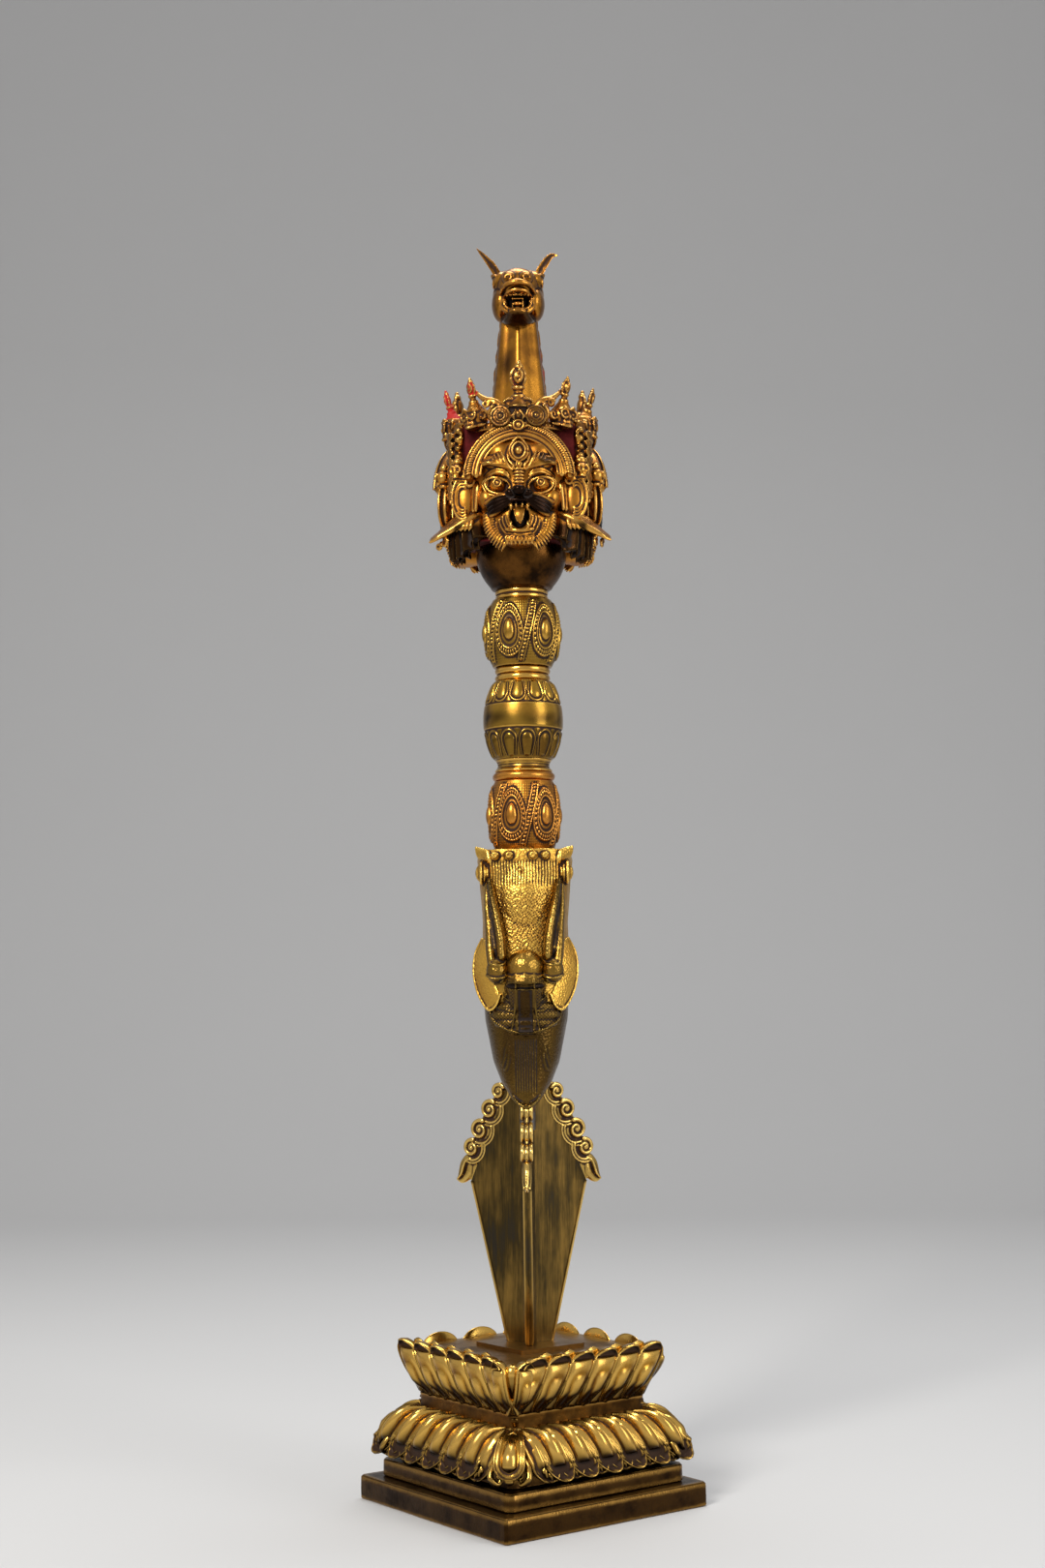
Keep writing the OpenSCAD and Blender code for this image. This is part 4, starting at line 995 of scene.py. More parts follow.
def upper_lotus():
    """Standing petals with hollow tips over their casting. Those at the back end in plain half discs."""
    start, z0 = 40.0, low("upper_lotus")
    rise, spread = 26.2, 6.6
    count = bpy.context.scene.phurba_stand.side_petals
    pitch = 80.0 / count
    form = square_tier(Form(), [(30, z0), (39.6, z0), (43, z0 + 8), (43.4, z0 + 19.4), (42, z0 + 20.2),
                                (42, z0 + 19.8), (30, z0 + 19.8)], 3)
    for k in range(4):
        way = 1 if k % 2 else -1
        tall = rise if k > 1 else rise - 6.0
        side = Form()
        for i in range(count):
            foot, tip = (i + 0.5 - count / 2) * pitch - 6.6, (i + 0.5 - count / 2) * 14.0 + 4.0
            petal = upper_petal(way * foot, start, tall, spread, pitch * 1.16, way * (tip - foot))
            petal_shell(side, *petal, rows=52, back=1.6)
        petal = upper_petal(-39.4 * way, start + 0.6, tall - 1.0, spread, pitch * 0.8, 0.6 * way)
        petal_shell(side, *petal, rows=52, back=1.6)
        for i in range(count - 1):
            foot, tip = (i + 1 - count / 2) * pitch - 6.6, (i + 1 - count / 2) * 14.0 + 4.0
            path, width, _ = upper_petal(way * foot, start, tall + 0.6, spread - 2.6, pitch * 0.9,
                                         way * (tip - foot))
            petal_shell(side, path, width, lambda s, t, r: 1.2 * ridge(r, 1.0), rows=24, cols=15, back=1.0)
        if k < 2:
            for x in (-24.5, 0.0, 24.5):
                side.ball((41.6, x, 18.6), (1.5, 11.6, 8.0), n=32)
        form.join(side, turn_z(k * math.pi / 2), (0, 0, z0))
        stem = turn_z(k * math.pi / 2 + math.pi / 4)
        points = ((54.6, 0, z0 + 0.6), (57.0, 0, z0 + 8), (59.2, 0, z0 + 15), (60.2, 0, z0 + 19.6))
        form.tube([stem @ q for q in points], [0.8, 2.2, 3.6, 4.0], smooth=4, sides=16)
        for out, wide in ((0.0, 0.0), (-0.7, 2.1), (-1.8, 4.2)):
            for x in (-1, 1) if wide else (1,):
                points = ((54.8 + out, 0.4 * x * wide / 4, z0 + 1), (58.2 + out, x * wide * 0.5, z0 + 9),
                          (60.2 + out, x * wide, z0 + 19))
                form.tube([stem @ q for q in points], [0.4, 0.8, 0.5], smooth=4, sides=8)
    obj = on_stand(form.mesh("upper_petals"))
    shade_under(obj, 0.9, z0, z0 + 12)
    # The broad recess marks darken the valleys as patina and the sides of each cushion as painted shade.
    dress(obj, finish("petal_gilt"), "stand", ["upper_lotus"], "lotus_gilt", rounds=(8, 40), gain=650.0)


# Grip


def round_skin(name, outline, relief, rows, cols=420):
    """A turned piece with a relief by angle and height."""
    outline = np.asarray(outline, float)
    length = np.concatenate([[0], np.cumsum(np.linalg.norm(np.diff(outline, axis=0), axis=1))])
    at = np.linspace(0, length[-1], rows)
    r, z = np.interp(at, length, outline[:, 0]), np.interp(at, length, outline[:, 1])
    angle = np.linspace(0, 2 * math.pi, cols, endpoint=False)
    A, Z = np.meshgrid(angle, z, indexing="xy")
    dr, dz = np.gradient(r), np.gradient(z)
    norm = np.hypot(dr, dz) + 1e-9
    lift = relief(A, Z)
    radius = r[:, None] + lift * (dz / norm)[:, None]
    height = z[:, None] - lift * (dr / norm)[:, None]
    net = np.stack([radius * np.cos(A), radius * np.sin(A), height], -1)
    return Form().grid(net).mesh(name)


def barrel_outline(z0, h, middle, end):
    """Outline of a bead that swells to its middle."""
    d = middle - end
    arc = (h * h / 4 + d * d) / (2 * d)
    t = np.linspace(-h / 2, h / 2, 40)
    r = middle - arc + np.sqrt(arc**2 - t**2)
    return [(ROD_HOLE, z0)] + [(a, z0 + h / 2 + b) for a, b in zip(r, t)] + [(ROD_HOLE, z0 + h)]


KNOT_TURN = math.radians(20)


def knot_relief(z0, h, middle, count, rise):
    """Beaded ribbons that loop over and under round drop-shaped cabochons."""
    unit = 2 * math.pi / count

    def relief(a, z):
        x = ((a + math.pi / 2 + KNOT_TURN + unit / 2) % unit - unit / 2) * middle
        y = z - z0 - h * 0.5
        fade = step(z, z0 + 0.6, z0 + 3) * (1 - step(z, z0 + h - 3, z0 + h - 0.6))
        top = 1 + 0.35 * np.clip(y / (h * 0.3), -1, 1)
        drop = np.hypot(x * top / 2.9, (y - 0.2) / 5.3)
        stone = 1.9 * ridge(drop, 1.0)
        ring = np.hypot(x * (1 + 0.2 * np.clip(y / (h * 0.3), -1, 1)) / 6.3, y / 11.0)
        out = ring - 1
        ribbon = hill(out, 0.17) * 0.55
        rails = (hill(out - 0.16, 0.045) + hill(out + 0.17, 0.045)) * 0.75
        round_angle = np.arctan2(y / 11.0, x / 6.3)
        beads = hill(out, 0.085) * (0.5 + 0.5 * np.cos(round_angle * 30)) * 0.7
        half = unit * middle / 2
        cross = np.abs(np.abs(x) - half - (y / h) * 9.0 * np.sign(x))
        strand = hill(cross, 1.5) * 0.5 + hill(cross - 1.7, 0.42) * 0.7
        strand = strand + hill(cross, 0.8) * (0.5 + 0.5 * np.cos(y * 3.4)) * 0.6
        band = np.maximum(ribbon + rails + beads, strand * step(np.abs(out), 0.1, 0.25))
        mesh = 0.12 * np.cos(x * 2.4 + y * 2.4) * np.cos(x * 2.4 - y * 2.4) * step(out, 0.25, 0.4)
        return np.maximum(stone, band * rise + mesh) * fade
    return relief


def knot_bead(node, material, slot, middle, end, count):
    """One woven bead."""
    rise = in_mm(bpy.context.scene.phurba_dagger.weave)
    z0, h = low(node), high(node) - low(node)
    relief = knot_relief(z0, h, middle, count, rise)
    obj = round_skin(node + "_skin", barrel_outline(z0, h, middle - 0.9, end), relief, 150, 540)
    z = co_of(obj)[:, 2] / MM
    # Darker towards the bottom of the bead.
    mark(obj, "black_and_shade", 0.35 * (1 - step(z, z0 + 0.1 * h, z0 + 0.45 * h)))
    dress(obj, finish(material), "dagger", [node], slot, rounds=(4, 16), gain=1300.0)


def knot_beads():
    """The two woven beads."""
    knot_bead("upper_knot_bead", "bead_gilt", "grip_gilt", 19.4, 14.6, 6)
    knot_bead("lower_knot_bead", "copper_gilt", "copper_gilt", 18.2, 14.6, 6)


def lotus_bead():
    """Bead with petals above and below a polished band."""
    z0, z1 = low("lotus_bead"), high("lotus_bead")
    h = z1 - z0

    def relief(a, z):
        v = (z - z0) / h
        lower = np.clip(v / 0.37, 0, 1.3)
        upper = np.clip((1 - v) / 0.30, 0, 1.3)
        total = np.zeros_like(a)
        for s, count, shift in ((lower, 12, 0), (upper, 12, 0.5)):
            unit = 2 * math.pi / count
            x = ((a / unit + shift + 0.25) % 1 - 0.5) * 2
            half = 0.62 + 0.34 * np.sin(np.clip(s, 0, 1) * math.pi * 0.62)
            end = np.clip((s - 0.55) / 0.43, 0, 1.2)
            rim = np.sqrt((x / half) ** 2 + end**2)
            petal = 0.95 * ridge(rim, 0.66) + 0.75 * hill(rim - 0.9, 0.09) - 0.35
            behind = 0.3 * hill(np.abs(x) - 1, 0.28) * (1 - step(s, 0.9, 1.1))
            inside = (s > 0.02) & (s < 1.02)
            total += np.where(inside & (rim < 1.08), petal, 0)
            total += np.where(inside & (rim >= 1.08), behind - 0.35, 0)
        band = step(v, 0.375, 0.40) * (1 - step(v, 0.685, 0.71))
        return total * step(v, 0.01, 0.05) * (1 - step(v, 0.95, 0.99)) + band * 0.35
    obj = round_skin("lotus_bead_skin", barrel_outline(z0, h, 19.6, 14.6), relief, 170, 600)
    x, y, z = (co_of(obj) / MM).T
    v, a = (z - z0) / h, np.arctan2(x, -y)
    cloud = np.sin(a * 5 + 2.2 * np.sin(v * 9)) * np.sin(v * 21 + 3 * np.sin(a * 3)) * 0.5 + 0.5
    # Darker on the lower petals; the patches at the sides of the polished band are painted dark reflections.
    patch = hill((a - 0.75) / 1.5, 0.5) * hill(v - 0.46, 0.1)
    patch = patch + hill((a + 0.9) / 1.2, 0.45) * hill(v - 0.52, 0.12)
    mark(obj, "black_and_shade", 0.55 * (1 - step(v, 0.33, 0.39)) + patch * (0.45 + 0.55 * cloud) * step(v, 0.38, 0.4))
    dress(obj, finish("bead_gilt"), "dagger", ["lotus_bead"], "grip_gilt", rounds=(4, 14), gain=1300.0)


def grip_rings():
    """Turned rings and the collar between the beads."""
    z0, z1 = low("torus_ring"), high("torus_ring")
    arc = np.linspace(-math.pi / 2, math.pi / 2, 18)
    torus = [(ROD_HOLE, z0)] + [(13.25 + 2.25 * math.cos(a),
                                 (z0 + z1) / 2 + 2.25 * math.sin(a)) for a in arc] + [(ROD_HOLE, z1)]
    c0, c1 = low("lower_collar"), high("lower_collar")
    collar = [(ROD_HOLE, c0), (14.1, c0), (14.4, c0 + 0.6), (13.9, c0 + 1.2), (13.0, c0 + 2.2),
              (12.75, c0 + 3.4), (13.1, c0 + 4.6), (13.7, c0 + 5.4), (13.9, c1 - 0.1), (ROD_HOLE, c1)]
    d0, d1 = low("double_ring"), high("double_ring")
    ring = [(ROD_HOLE, d0)]
    for m in (d0 + 1.85, d1 - 1.85):
        ring += [(12.4 + 1.4 * math.cos(a), m + 1.75 * math.sin(a)) for a in arc]
    ring += [(ROD_HOLE, d1)]
    u0, u1 = low("upper_ring"), high("upper_ring")
    upper = [(ROD_HOLE, u0), (12.6, u0), (13.2, u0 + 0.6), (13.2, u0 + 1.7), (12.7, u0 + 2.2),
             (12.7, u0 + 2.7), (13.3, u0 + 3.2), (13.3, u1 - 0.5), (12.9, u1), (ROD_HOLE, u1)]

    def wobble(a, z):
        return 0.05 * np.sin(3 * a + z) + 0.04 * np.sin(7 * a)
    for node, outline, material in (("torus_ring", torus, "copper_gilt"),
                                    ("lower_collar", collar, "grip_gilt"),
                                    ("double_ring", ring, "grip_gilt"), ("upper_ring", upper, "grip_gilt")):
        obj = round_skin(node + "_turned", outline, wobble, 90, 160)
        mark(obj, "black_and_shade", 0)
        dress(obj, finish(material), "dagger", [node], "grip_gilt", rounds=(3, 10), gain=1600.0)


# Blade and crests


HUB = 1.6
FIN_REACH = 32.9
SHOULDER = 152.1
SEAM = 200.1


def star_ring(reach, half, rim, proud, z):
    """One section of the three fins: out along a face, over the rim and back along the other face."""
    points = []
    for k in range(3):
        lean = turn_z(k * THIRD - math.pi / 2)
        side = [
            (HUB + 1.2, half), (max(HUB + 1.3, (reach - rim) * 0.5), half * 0.92),
            (max(HUB + 1.4, reach - rim - 0.5), half * 0.97), (max(HUB + 1.5, reach - rim), half + proud),
            (max(HUB + 1.6, reach - 0.8), half + proud * 0.8), (max(HUB + 1.7, reach), half * 0.12),
        ]
        both = [(x, -y) for x, y in side] + [(x, y) for x, y in side[::-1]]
        points.append(np.array([(x, y, 0) for x, y in both]) @ lean.T)
    ring = np.vstack(points)
    ring[:, 2] = z
    return ring


def blade_fins():
    """The three fins with their raised rims."""
    z0 = low("blade")
    net = []
    for z in np.linspace(z0, SHOULDER, 44):
        up = (z - z0) / (SHOULDER - z0)
        inside = z < 78
        net.append(star_ring(max(2.2, FIN_REACH * up), 1.6, 1.8, 0.05 if inside else 0.6, z))
    for z in np.linspace(SHOULDER + 0.4, SEAM, 18):
        reach = FIN_REACH - (FIN_REACH - 11) * (z - SHOULDER) / (SEAM - SHOULDER)
        net.append(star_ring(reach, 1.6, 1.2, 0.15, z))
    net.append(star_ring(7.6, 1.6, 1.2, 0.1, high("blade")))
    obj = Form().grid(np.array(net)).mesh("fins")
    refine(obj)
    co = co_of(obj) / MM
    sharp(obj, 24)
    reach = FIN_REACH * (co[:, 2] - z0) / (SHOULDER - z0)
    radius = np.hypot(co[:, 0], co[:, 1])
    inner = step(radius, reach - 2.1, reach - 1.6)
    outer = 1 - step(radius, reach - 0.75, reach - 0.3)
    mark(obj, "rim", inner * outer * (co[:, 2] < SHOULDER))
    dress(obj, blade_metal(), "dagger", ["blade"], "blade_metal", recesses=False)


def spiral(centre, radius, turns, start, side=1, n=30, end=0.18):
    """Points of a scroll that winds in from its rim."""
    t = np.linspace(0, 1, n)
    r = radius * (1 - (1 - end) * t)
    a = start + side * t * turns * 2 * math.pi
    return np.stack([centre[0] + r * np.cos(a), centre[1] + r * np.sin(a)], 1)


def scroll(form, centre, y, radius, turns, start, side, n, thick):
    """Adds an upright spiral wire at a distance in front of the axis."""
    path = spiral(centre, radius, turns, start, side, n)
    form.wire([(a, y, b) for a, b in path], np.linspace(*thick, n))


def crest_form():
    """Cloud scrolls, a leaf curl above and a pointed hook below, drawn by reach and height."""
    form = Form()
    half = 2.0

    def both_faces(path, radii, lift=half, **kw):
        for side in (-1, 1):
            form.tube([(x, side * lift, z) for x, z in path], radii, up=(0, 1, 0), sides=8, **kw)

    def plate(path, radii, flat=0.36):
        form.tube([(x, 0, z) for x, z in path], radii, flat=flat, up=(0, 1, 0), sides=12, smooth=4)
    plate([(11.6, 200), (15, 194), (19, 187), (24, 178), (28, 169.5), (31, 161), (33, 154.5)],
          [1.8, 3.4, 4.4, 4.6, 4.4, 3.6, 2.0])
    scrolls = [((15.4, 196.6), 4.0, 2.5), ((20.8, 187.6), 4.9, 2.2), ((26.6, 177.6), 5.2, 2.0),
               ((31.4, 168.6), 4.5, 1.8)]
    for centre, radius, start in scrolls:
        form.ball((centre[0], 0, centre[1]), (radius * 0.98, half + 0.3, radius * 0.98), n=24)
        both_faces(spiral(centre, radius * 0.93, 1.5, start, -1), np.linspace(1.15, 0.65, 30),
                   lift=half + 0.15)
        form.ball((centre[0], 0, centre[1]), (1.3, half + 1.3, 1.3), n=12)
        for k in (1, 2):
            t = np.radians(np.linspace(165, 292, 18))
            wave = [(centre[0] + (radius + 1.5 * k) * math.cos(q),
                     centre[1] + (radius + 1.5 * k) * math.sin(q)) for q in t]
            both_faces(wave, np.linspace(0.7, 0.5, 18), lift=half - 0.25 * k)
    plate([(32.0, 164), (34.6, 163.0), (37.0, 160.4), (38.4, 157.0), (39.6, 154.2), (41.4, 152.6)],
          [2.2, 2.4, 2.2, 1.8, 1.3, 0.5], 0.8)
    plate([(33.0, 160), (34.0, 156), (36.2, 153.4), (38.6, 152.2), (40.6, 152.6)],
          [2.0, 2.2, 1.9, 1.4, 0.8], 0.8)
    both_faces([(32.8, 163.4), (35.4, 162.0), (37.0, 158.6), (38.2, 155.2), (40.4, 152.9)],
               [0.5, 0.8, 0.8, 0.7, 0.4], lift=1.6, smooth=3)
    return form


def crests():
    """The three scroll crests on the fins' shoulders."""
    first = cast(crest_form(), "crest_shape", 0.33, 2)
    on_three_sides(first, "crest_{}_scrolls", "crest_{}", "crest_gilt", "crest_gilt", -math.pi / 2,
                   rounds=(4, 14), gain=1500.0)


# Stage


def studio():
    """Pale floor, soft lights and the camera at the photograph's angle."""
    c = bpy.context.scene.phurba_colours
    bend = np.linspace(0.05, math.pi / 2, 24)
    run = np.concatenate([np.linspace(-3.0, 1.3, 30), 1.3 + 0.9 * np.sin(bend), np.full(10, 2.2)])
    rise = np.concatenate([np.zeros(30), 0.9 - 0.9 * np.cos(bend), np.linspace(1.0, 4.0, 10)])
    wide = np.linspace(-4, 4, 30)
    net = np.stack([np.repeat(wide[None], len(run), 0), np.repeat(run[:, None], 30, 1),
                    np.repeat(rise[:, None], 30, 1)], -1)
    floor = Form().grid(net / MM, wrap=False, caps=False).mesh("studio_sweep")
    material, w, shader = new_material("studio_sweep")
    place = w.place()
    tint = w.blend(w.noise(place, 3.0, 3.0), 0.2, 0.8, 0.0, 0.06)
    w.feed(shader.inputs["Base Color"], w.mix(tint, (*tuple(c.floor), 1), (0.5, 0.5, 0.5, 1)))
    shader.inputs["Roughness"].default_value = 0.85
    floor.data.materials.append(material)

    world = bpy.data.worlds.new("studio")
    bpy.context.scene.world = world
    world.use_nodes = True
    w = Wires(world.node_tree)
    back = world.node_tree.nodes["Background"]
    rays = w.node("ShaderNodeLightPath").outputs
    mirrored = w.math("MAXIMUM", rays["Is Glossy Ray"], rays["Is Transmission Ray"])
    seen = w.math("MAXIMUM", rays["Is Camera Ray"], mirrored)
    w.feed(back.inputs["Color"], (0.8, 0.8, 0.82, 1))
    w.feed(back.inputs["Strength"], w.blend(seen, 0, 1, 0.35, 0.75))

    def lamp(name, place, size, power, tint=(1, 1, 1)):
        """Adds a soft lamp that looks at the middle of the dagger."""
        data = bpy.data.lights.new(name, "AREA")
        data.shape = "RECTANGLE"
        data.size, data.size_y = size
        data.energy = power
        data.color = tint
        obj = bpy.data.objects.new(name, data)
        bpy.context.scene.collection.objects.link(obj)
        obj.location = place
        aim = np.array([0, 0, 0.28]) - np.array(place)
        obj.rotation_euler = Vector(aim).to_track_quat("-Z", "Y").to_euler()
    lamp("key", (-0.75, -1.3, 1.25), (0.5, 0.7), 26, (1.0, 0.97, 0.92))
    lamp("fill", (1.3, -0.9, 0.7), (0.7, 1.1), 9)
    lamp("top", (0.1, 0.3, 1.6), (0.9, 0.6), 12)

    data = bpy.data.cameras.new("view")
    data.sensor_fit = "AUTO"
    data.sensor_width = 36
    data.lens = 50
    data.clip_start = 0.05
    camera = bpy.data.objects.new("view", data)
    bpy.context.scene.collection.objects.link(camera)
    turn, reach, height = math.radians(1.0), 1.080, 0.247
    pan, tilt, roll = turn + 0.0006, math.radians(95.37), -0.0112
    camera.location = (reach * math.sin(turn), -reach * math.cos(turn), height)
    aim = Matrix.Rotation(pan, 4, "Z") @ Matrix.Rotation(tilt, 4, "X") @ Matrix.Rotation(roll, 4, "Z")
    camera.rotation_euler = aim.to_euler()
    bpy.context.scene.camera = camera
    bpy.context.scene.view_settings.view_transform = "Standard"


# Head

FACE_Z = 495.6


def at_face(u, v, out):
    """A point of the front face: sideways, above its middle, and its distance from the axis."""
    return (u, -out, FACE_Z + v)


def flat_ring(form, u, v, out, wide, tall, thick, point=0.0):
    """Adds an upright closed ring in front of the face. Point draws its top out to a tip."""
    a = np.radians(np.linspace(0, 352, 44))
    lift = 1 + point * np.clip(np.sin(a), 0, 1) ** 6
    path = np.stack([u + wide * np.cos(a), np.full(44, -out), FACE_Z + v + tall * np.sin(a) * lift], 1)
    return form.wire(path, thick, round_ends=False)


def face_path(x, *points):
    """Points of the front face. X is 1 for its own side, or -1 for the other side."""
    return [at_face(x * u, v, out) for u, v, out in points]


def flip(x, *points):
    """Points on one side of the dagger's middle plane, or with x = -1 on the other side."""
    return [(x * a, b, c) for a, b, c in points]


def form_of(obj):
    """A form from a finished piece, to build on."""
    form = Form()
    form.add(co_of(obj) / MM, [tuple(p.vertices) for p in obj.data.polygons])
    bpy.data.objects.remove(obj)
    return form


MUZZLE = (-19.0, 29.0, 15.6, 10.6, 14.8)


def muzzle_out(u, v):
    """How far the rounded muzzle stands from the axis at a point of the face."""
    v0, out, wide, deep, tall = MUZZLE
    return out + deep * math.sqrt(max(0.05, 1 - (u / wide) ** 2 - ((v - v0) / tall) ** 2))


def on_muzzle(u, v, lift=0.0):
    """A point on the muzzle, or so far in front of it."""
    return at_face(u, v, muzzle_out(u, v) + lift)


def face_base():
    """Forehead, cheeks, muzzle and chin, with the sockets and the open mouth pressed in."""
    form = Form()
    v0, out, wide, deep, tall = MUZZLE
    form.ball(at_face(0, -3, 25), (21.5, 13.5, 25.5), n=40)
    form.ball(at_face(0, 6.5, 26), (24.0, 13.2, 17.5), n=40)
    form.ball(at_face(0, v0, out), (wide, deep, tall), n=40)
    form.ball(at_face(0, -29.6, 33), (8.2, 7, 4.6), n=24)
    for x in (-1, 1):
        form.ball(at_face(x * 8.6, 12.6, 31.5), (7.4, 7.0, 6.2), n=28)
        form.ball(at_face(x * 15.2, -9.4, 31), (5.4, 6.6, 6.2), n=24)

    def press(co, normal):
        u, v = co[:, 0], co[:, 2] - FACE_Z
        front = step(-co[:, 1], 24, 30)
        socket = -2.2 * hill(np.hypot((np.abs(u) - 10.6) / 1.25, v + 4.0), 4.6)
        mouth = -6.0 * step(1 - np.hypot(u / 5.2, (v + 20.0) / 6.0), 0, 0.4)
        temple = -0.8 * hill(np.hypot(np.abs(u) - 19.5, v - 2), 4)
        return (socket + mouth + temple) * front
    return form_of(cast(form, "face_clay", 0.7, 6, press))


def eye_and_brow(form, x):
    """One almond eye with its lids, the leaf-shaped brow above it and the frown lines."""
    form.ball(at_face(x * 10.6, -3.7, 35.4), (4.1, 4.6, 4.1), n=28)
    flat_ring(form, x * 10.6, -3.5, 39.9, 1.8, 1.8, 0.4)
    form.ball(at_face(x * 10.6, -3.5, 40.0), (0.85, 0.7, 0.85), n=12)
    a = np.linspace(0, 2 * math.pi * 0.985, 52)
    for k, thick in ((1.0, 0.62), (1.2, 0.42)):
        up = np.where(np.sin(a) > 0, 3.0, 4.9) * k
        forward = 38.9 - 1.6 * (k - 1) * 5 - 1.9 * np.cos(a) ** 2 - 0.5 * np.cos(a)
        lid = np.stack([x * (10.6 + 6.1 * k * np.cos(a)), -forward,
                        FACE_Z - 3.8 + up * np.sin(a) + 0.9 * np.cos(a)], 1)
        form.wire(lid, thick, round_ends=False)
    for i, v in enumerate((1.2, 2.6)):
        fold = face_path(x, (4.6, v - 2.6, 39.4), (7.0, v - 0.3, 39.6), (11.0, v + 0.7, 38.4),
                         (15.2, v - 0.6, 35.4), (17.4, v - 2.2, 33.4))
        form.tube(fold, [0.3, 0.75, 0.85, 0.7, 0.3], smooth=5, sides=8)
    for i in range(7):
        k = i / 6
        brow = face_path(x, (3.4 + 0.9 * i, 2.6 + 0.3 * i, 40.6),
                         (5.4 + 1.5 * i, 4.4 + 0.3 * i, 41.2 - 0.9 * k),
                         (7.2 + 1.7 * i, 8.0 - 0.3 * i, 41.0 - 2.6 * k),
                         (8.6 + 1.75 * i, 12.4 - 0.6 * i, 39.2 - 4.2 * k))
        form.tube(brow, [0.6, 1.1, 1.15, 0.3], smooth=5, sides=8)
    form.ball(at_face(x * 11.2, 6.8, 36.6), (6.6, 3.4, 3.6), turn_y(-x * 0.25), n=20)
    frown = face_path(x, (4.4, 15.0, 37.6), (5.4, 11.0, 38.9), (4.9, 7.6, 39.9), (3.0, 5.0, 40.6),
                      (2.6, 3.0, 40.6))
    form.tube(frown, [0.3, 0.65, 0.75, 0.7, 0.4], smooth=5, sides=8)


def nose_and_lips(form):
    """Ringed nose, lips, fangs, tusks and the long tongue."""
    form.ball(at_face(0, -8.0, 43.0), (3.6, 4.4, 2.9), n=24)
    for i, v in enumerate((3.0, 1.2, -0.6, -2.4, -4.2)):
        form.ball(at_face(0, v, 39.6 + 0.7 * i), (2.9 + 0.08 * i, 2.2, 0.95), n=20)
    form.ball(at_face(0.4, 5.3, 40.2), (1.3, 1.1, 1.3), n=16)
    flat_ring(form, 0, 5.3, 40.8, 1.35, 1.35, 0.36)
    flat_ring(form, 0, 12.2, 39.9, 4.5, 5.0, 0.62, point=0.35)
    flat_ring(form, 0, 12.2, 40.5, 3.2, 3.8, 0.5, point=0.1)
    form.ball(at_face(0, 12.2, 38.4), (4.8, 1.9, 5.4), n=24)
    form.ball(at_face(0, 12.2, 40.2), (1.9, 1.5, 2.1), n=18)
    upper = [(-8.0, -13.6, 39.6), (-4.2, -12.9, 42.2), (0, -12.7, 43.2), (4.2, -12.9, 42.2),
             (8.0, -13.6, 39.6)]
    form.tube(face_path(1, *upper), [0.5, 0.8, 0.85, 0.8, 0.5], smooth=5)
    tongue = [(0, -14.4, 38.0), (0, -16.4, 40.6), (0.1, -19.6, 42.8), (0.3, -22.4, 43.0),
              (0.5, -24.2, 41.8)]
    form.tube(face_path(1, *tongue), [2.3, 2.9, 2.5, 1.7, 0.5], flat=0.45, up=(0, 1, 0.2), smooth=5)
    for x in (-1, 1):
        edge = face_path(x, (2.5, -16.8, 41.6), (2.1, -20.0, 43.5), (1.0, -23.4, 43.2))
        form.tube(edge, [0.35, 0.4, 0.3], smooth=4, sides=6)
        form.ball(at_face(x * 4.3, -9.2, 41.6), (2.7, 3.2, 2.2), turn_y(-x * 0.3), n=20)
        form.tube(face_path(x, (6.4, -7.8, 40.8), (7.4, -9.4, 39.8), (6.8, -11.0, 40.2)),
                  [0.4, 0.8, 0.4], smooth=4, sides=8)
        form.tube(face_path(x, (4.0, -13.8, 41.0), (4.1, -15.6, 41.6), (3.8, -17.6, 41.0)),
                  [0.95, 0.85, 0.25], smooth=3, sides=8)
        form.tube(face_path(x, (1.5, -13.8, 41.6), (1.6, -15.2, 41.8)), [0.75, 0.55], sides=8)
        form.tube(face_path(x, (4.0, -26.6, 40.0), (4.2, -24.6, 41.0), (3.8, -22.6, 40.8)),
                  [0.9, 0.8, 0.25], smooth=3, sides=8)
        for i in range(4):
            whisker = face_path(x, (2.6, -10.6 - 0.6 * i, 42.4), (6.8, -10.4 - 1.4 * i, 41.8 - 0.2 * i),
                                (11.4, -11.4 - 2.0 * i, 39.6 - 0.2 * i),
                                (15.4 - 0.5 * i, -12.6 - 2.0 * i, 36.8),
                                (18.0 - 1.2 * i, -11.8 - 1.9 * i, 34.0))
            form.tube(whisker, [0.8, 1.6, 1.9, 1.5, 0.3], flat=0.8, up=(0, 1, 0), smooth=5)
        for r, first, last in ((6.6, 172, 240), (8.3, 176, 248), (10.0, 184, 252), (11.8, 190, 250)):
            t = np.radians(np.linspace(first, last, 16))
            arc = [on_muzzle(-x * r * math.cos(q), MUZZLE[0] - 1.5 + r * math.sin(q), 0.15) for q in t]
            form.tube(arc, 0.32, sides=8)
    for v, out, wide, thick in ((-27.2, 40.6, 6.4, 1.0), (-29.0, 39.6, 5.2, 0.6)):
        band = [(s * wide, v + 1.3 * abs(s) ** 2 - 0.2, out - 2.4 * s * s) for s in np.linspace(-1, 1, 13)]
        form.tube(face_path(1, *band), thick, sides=10)


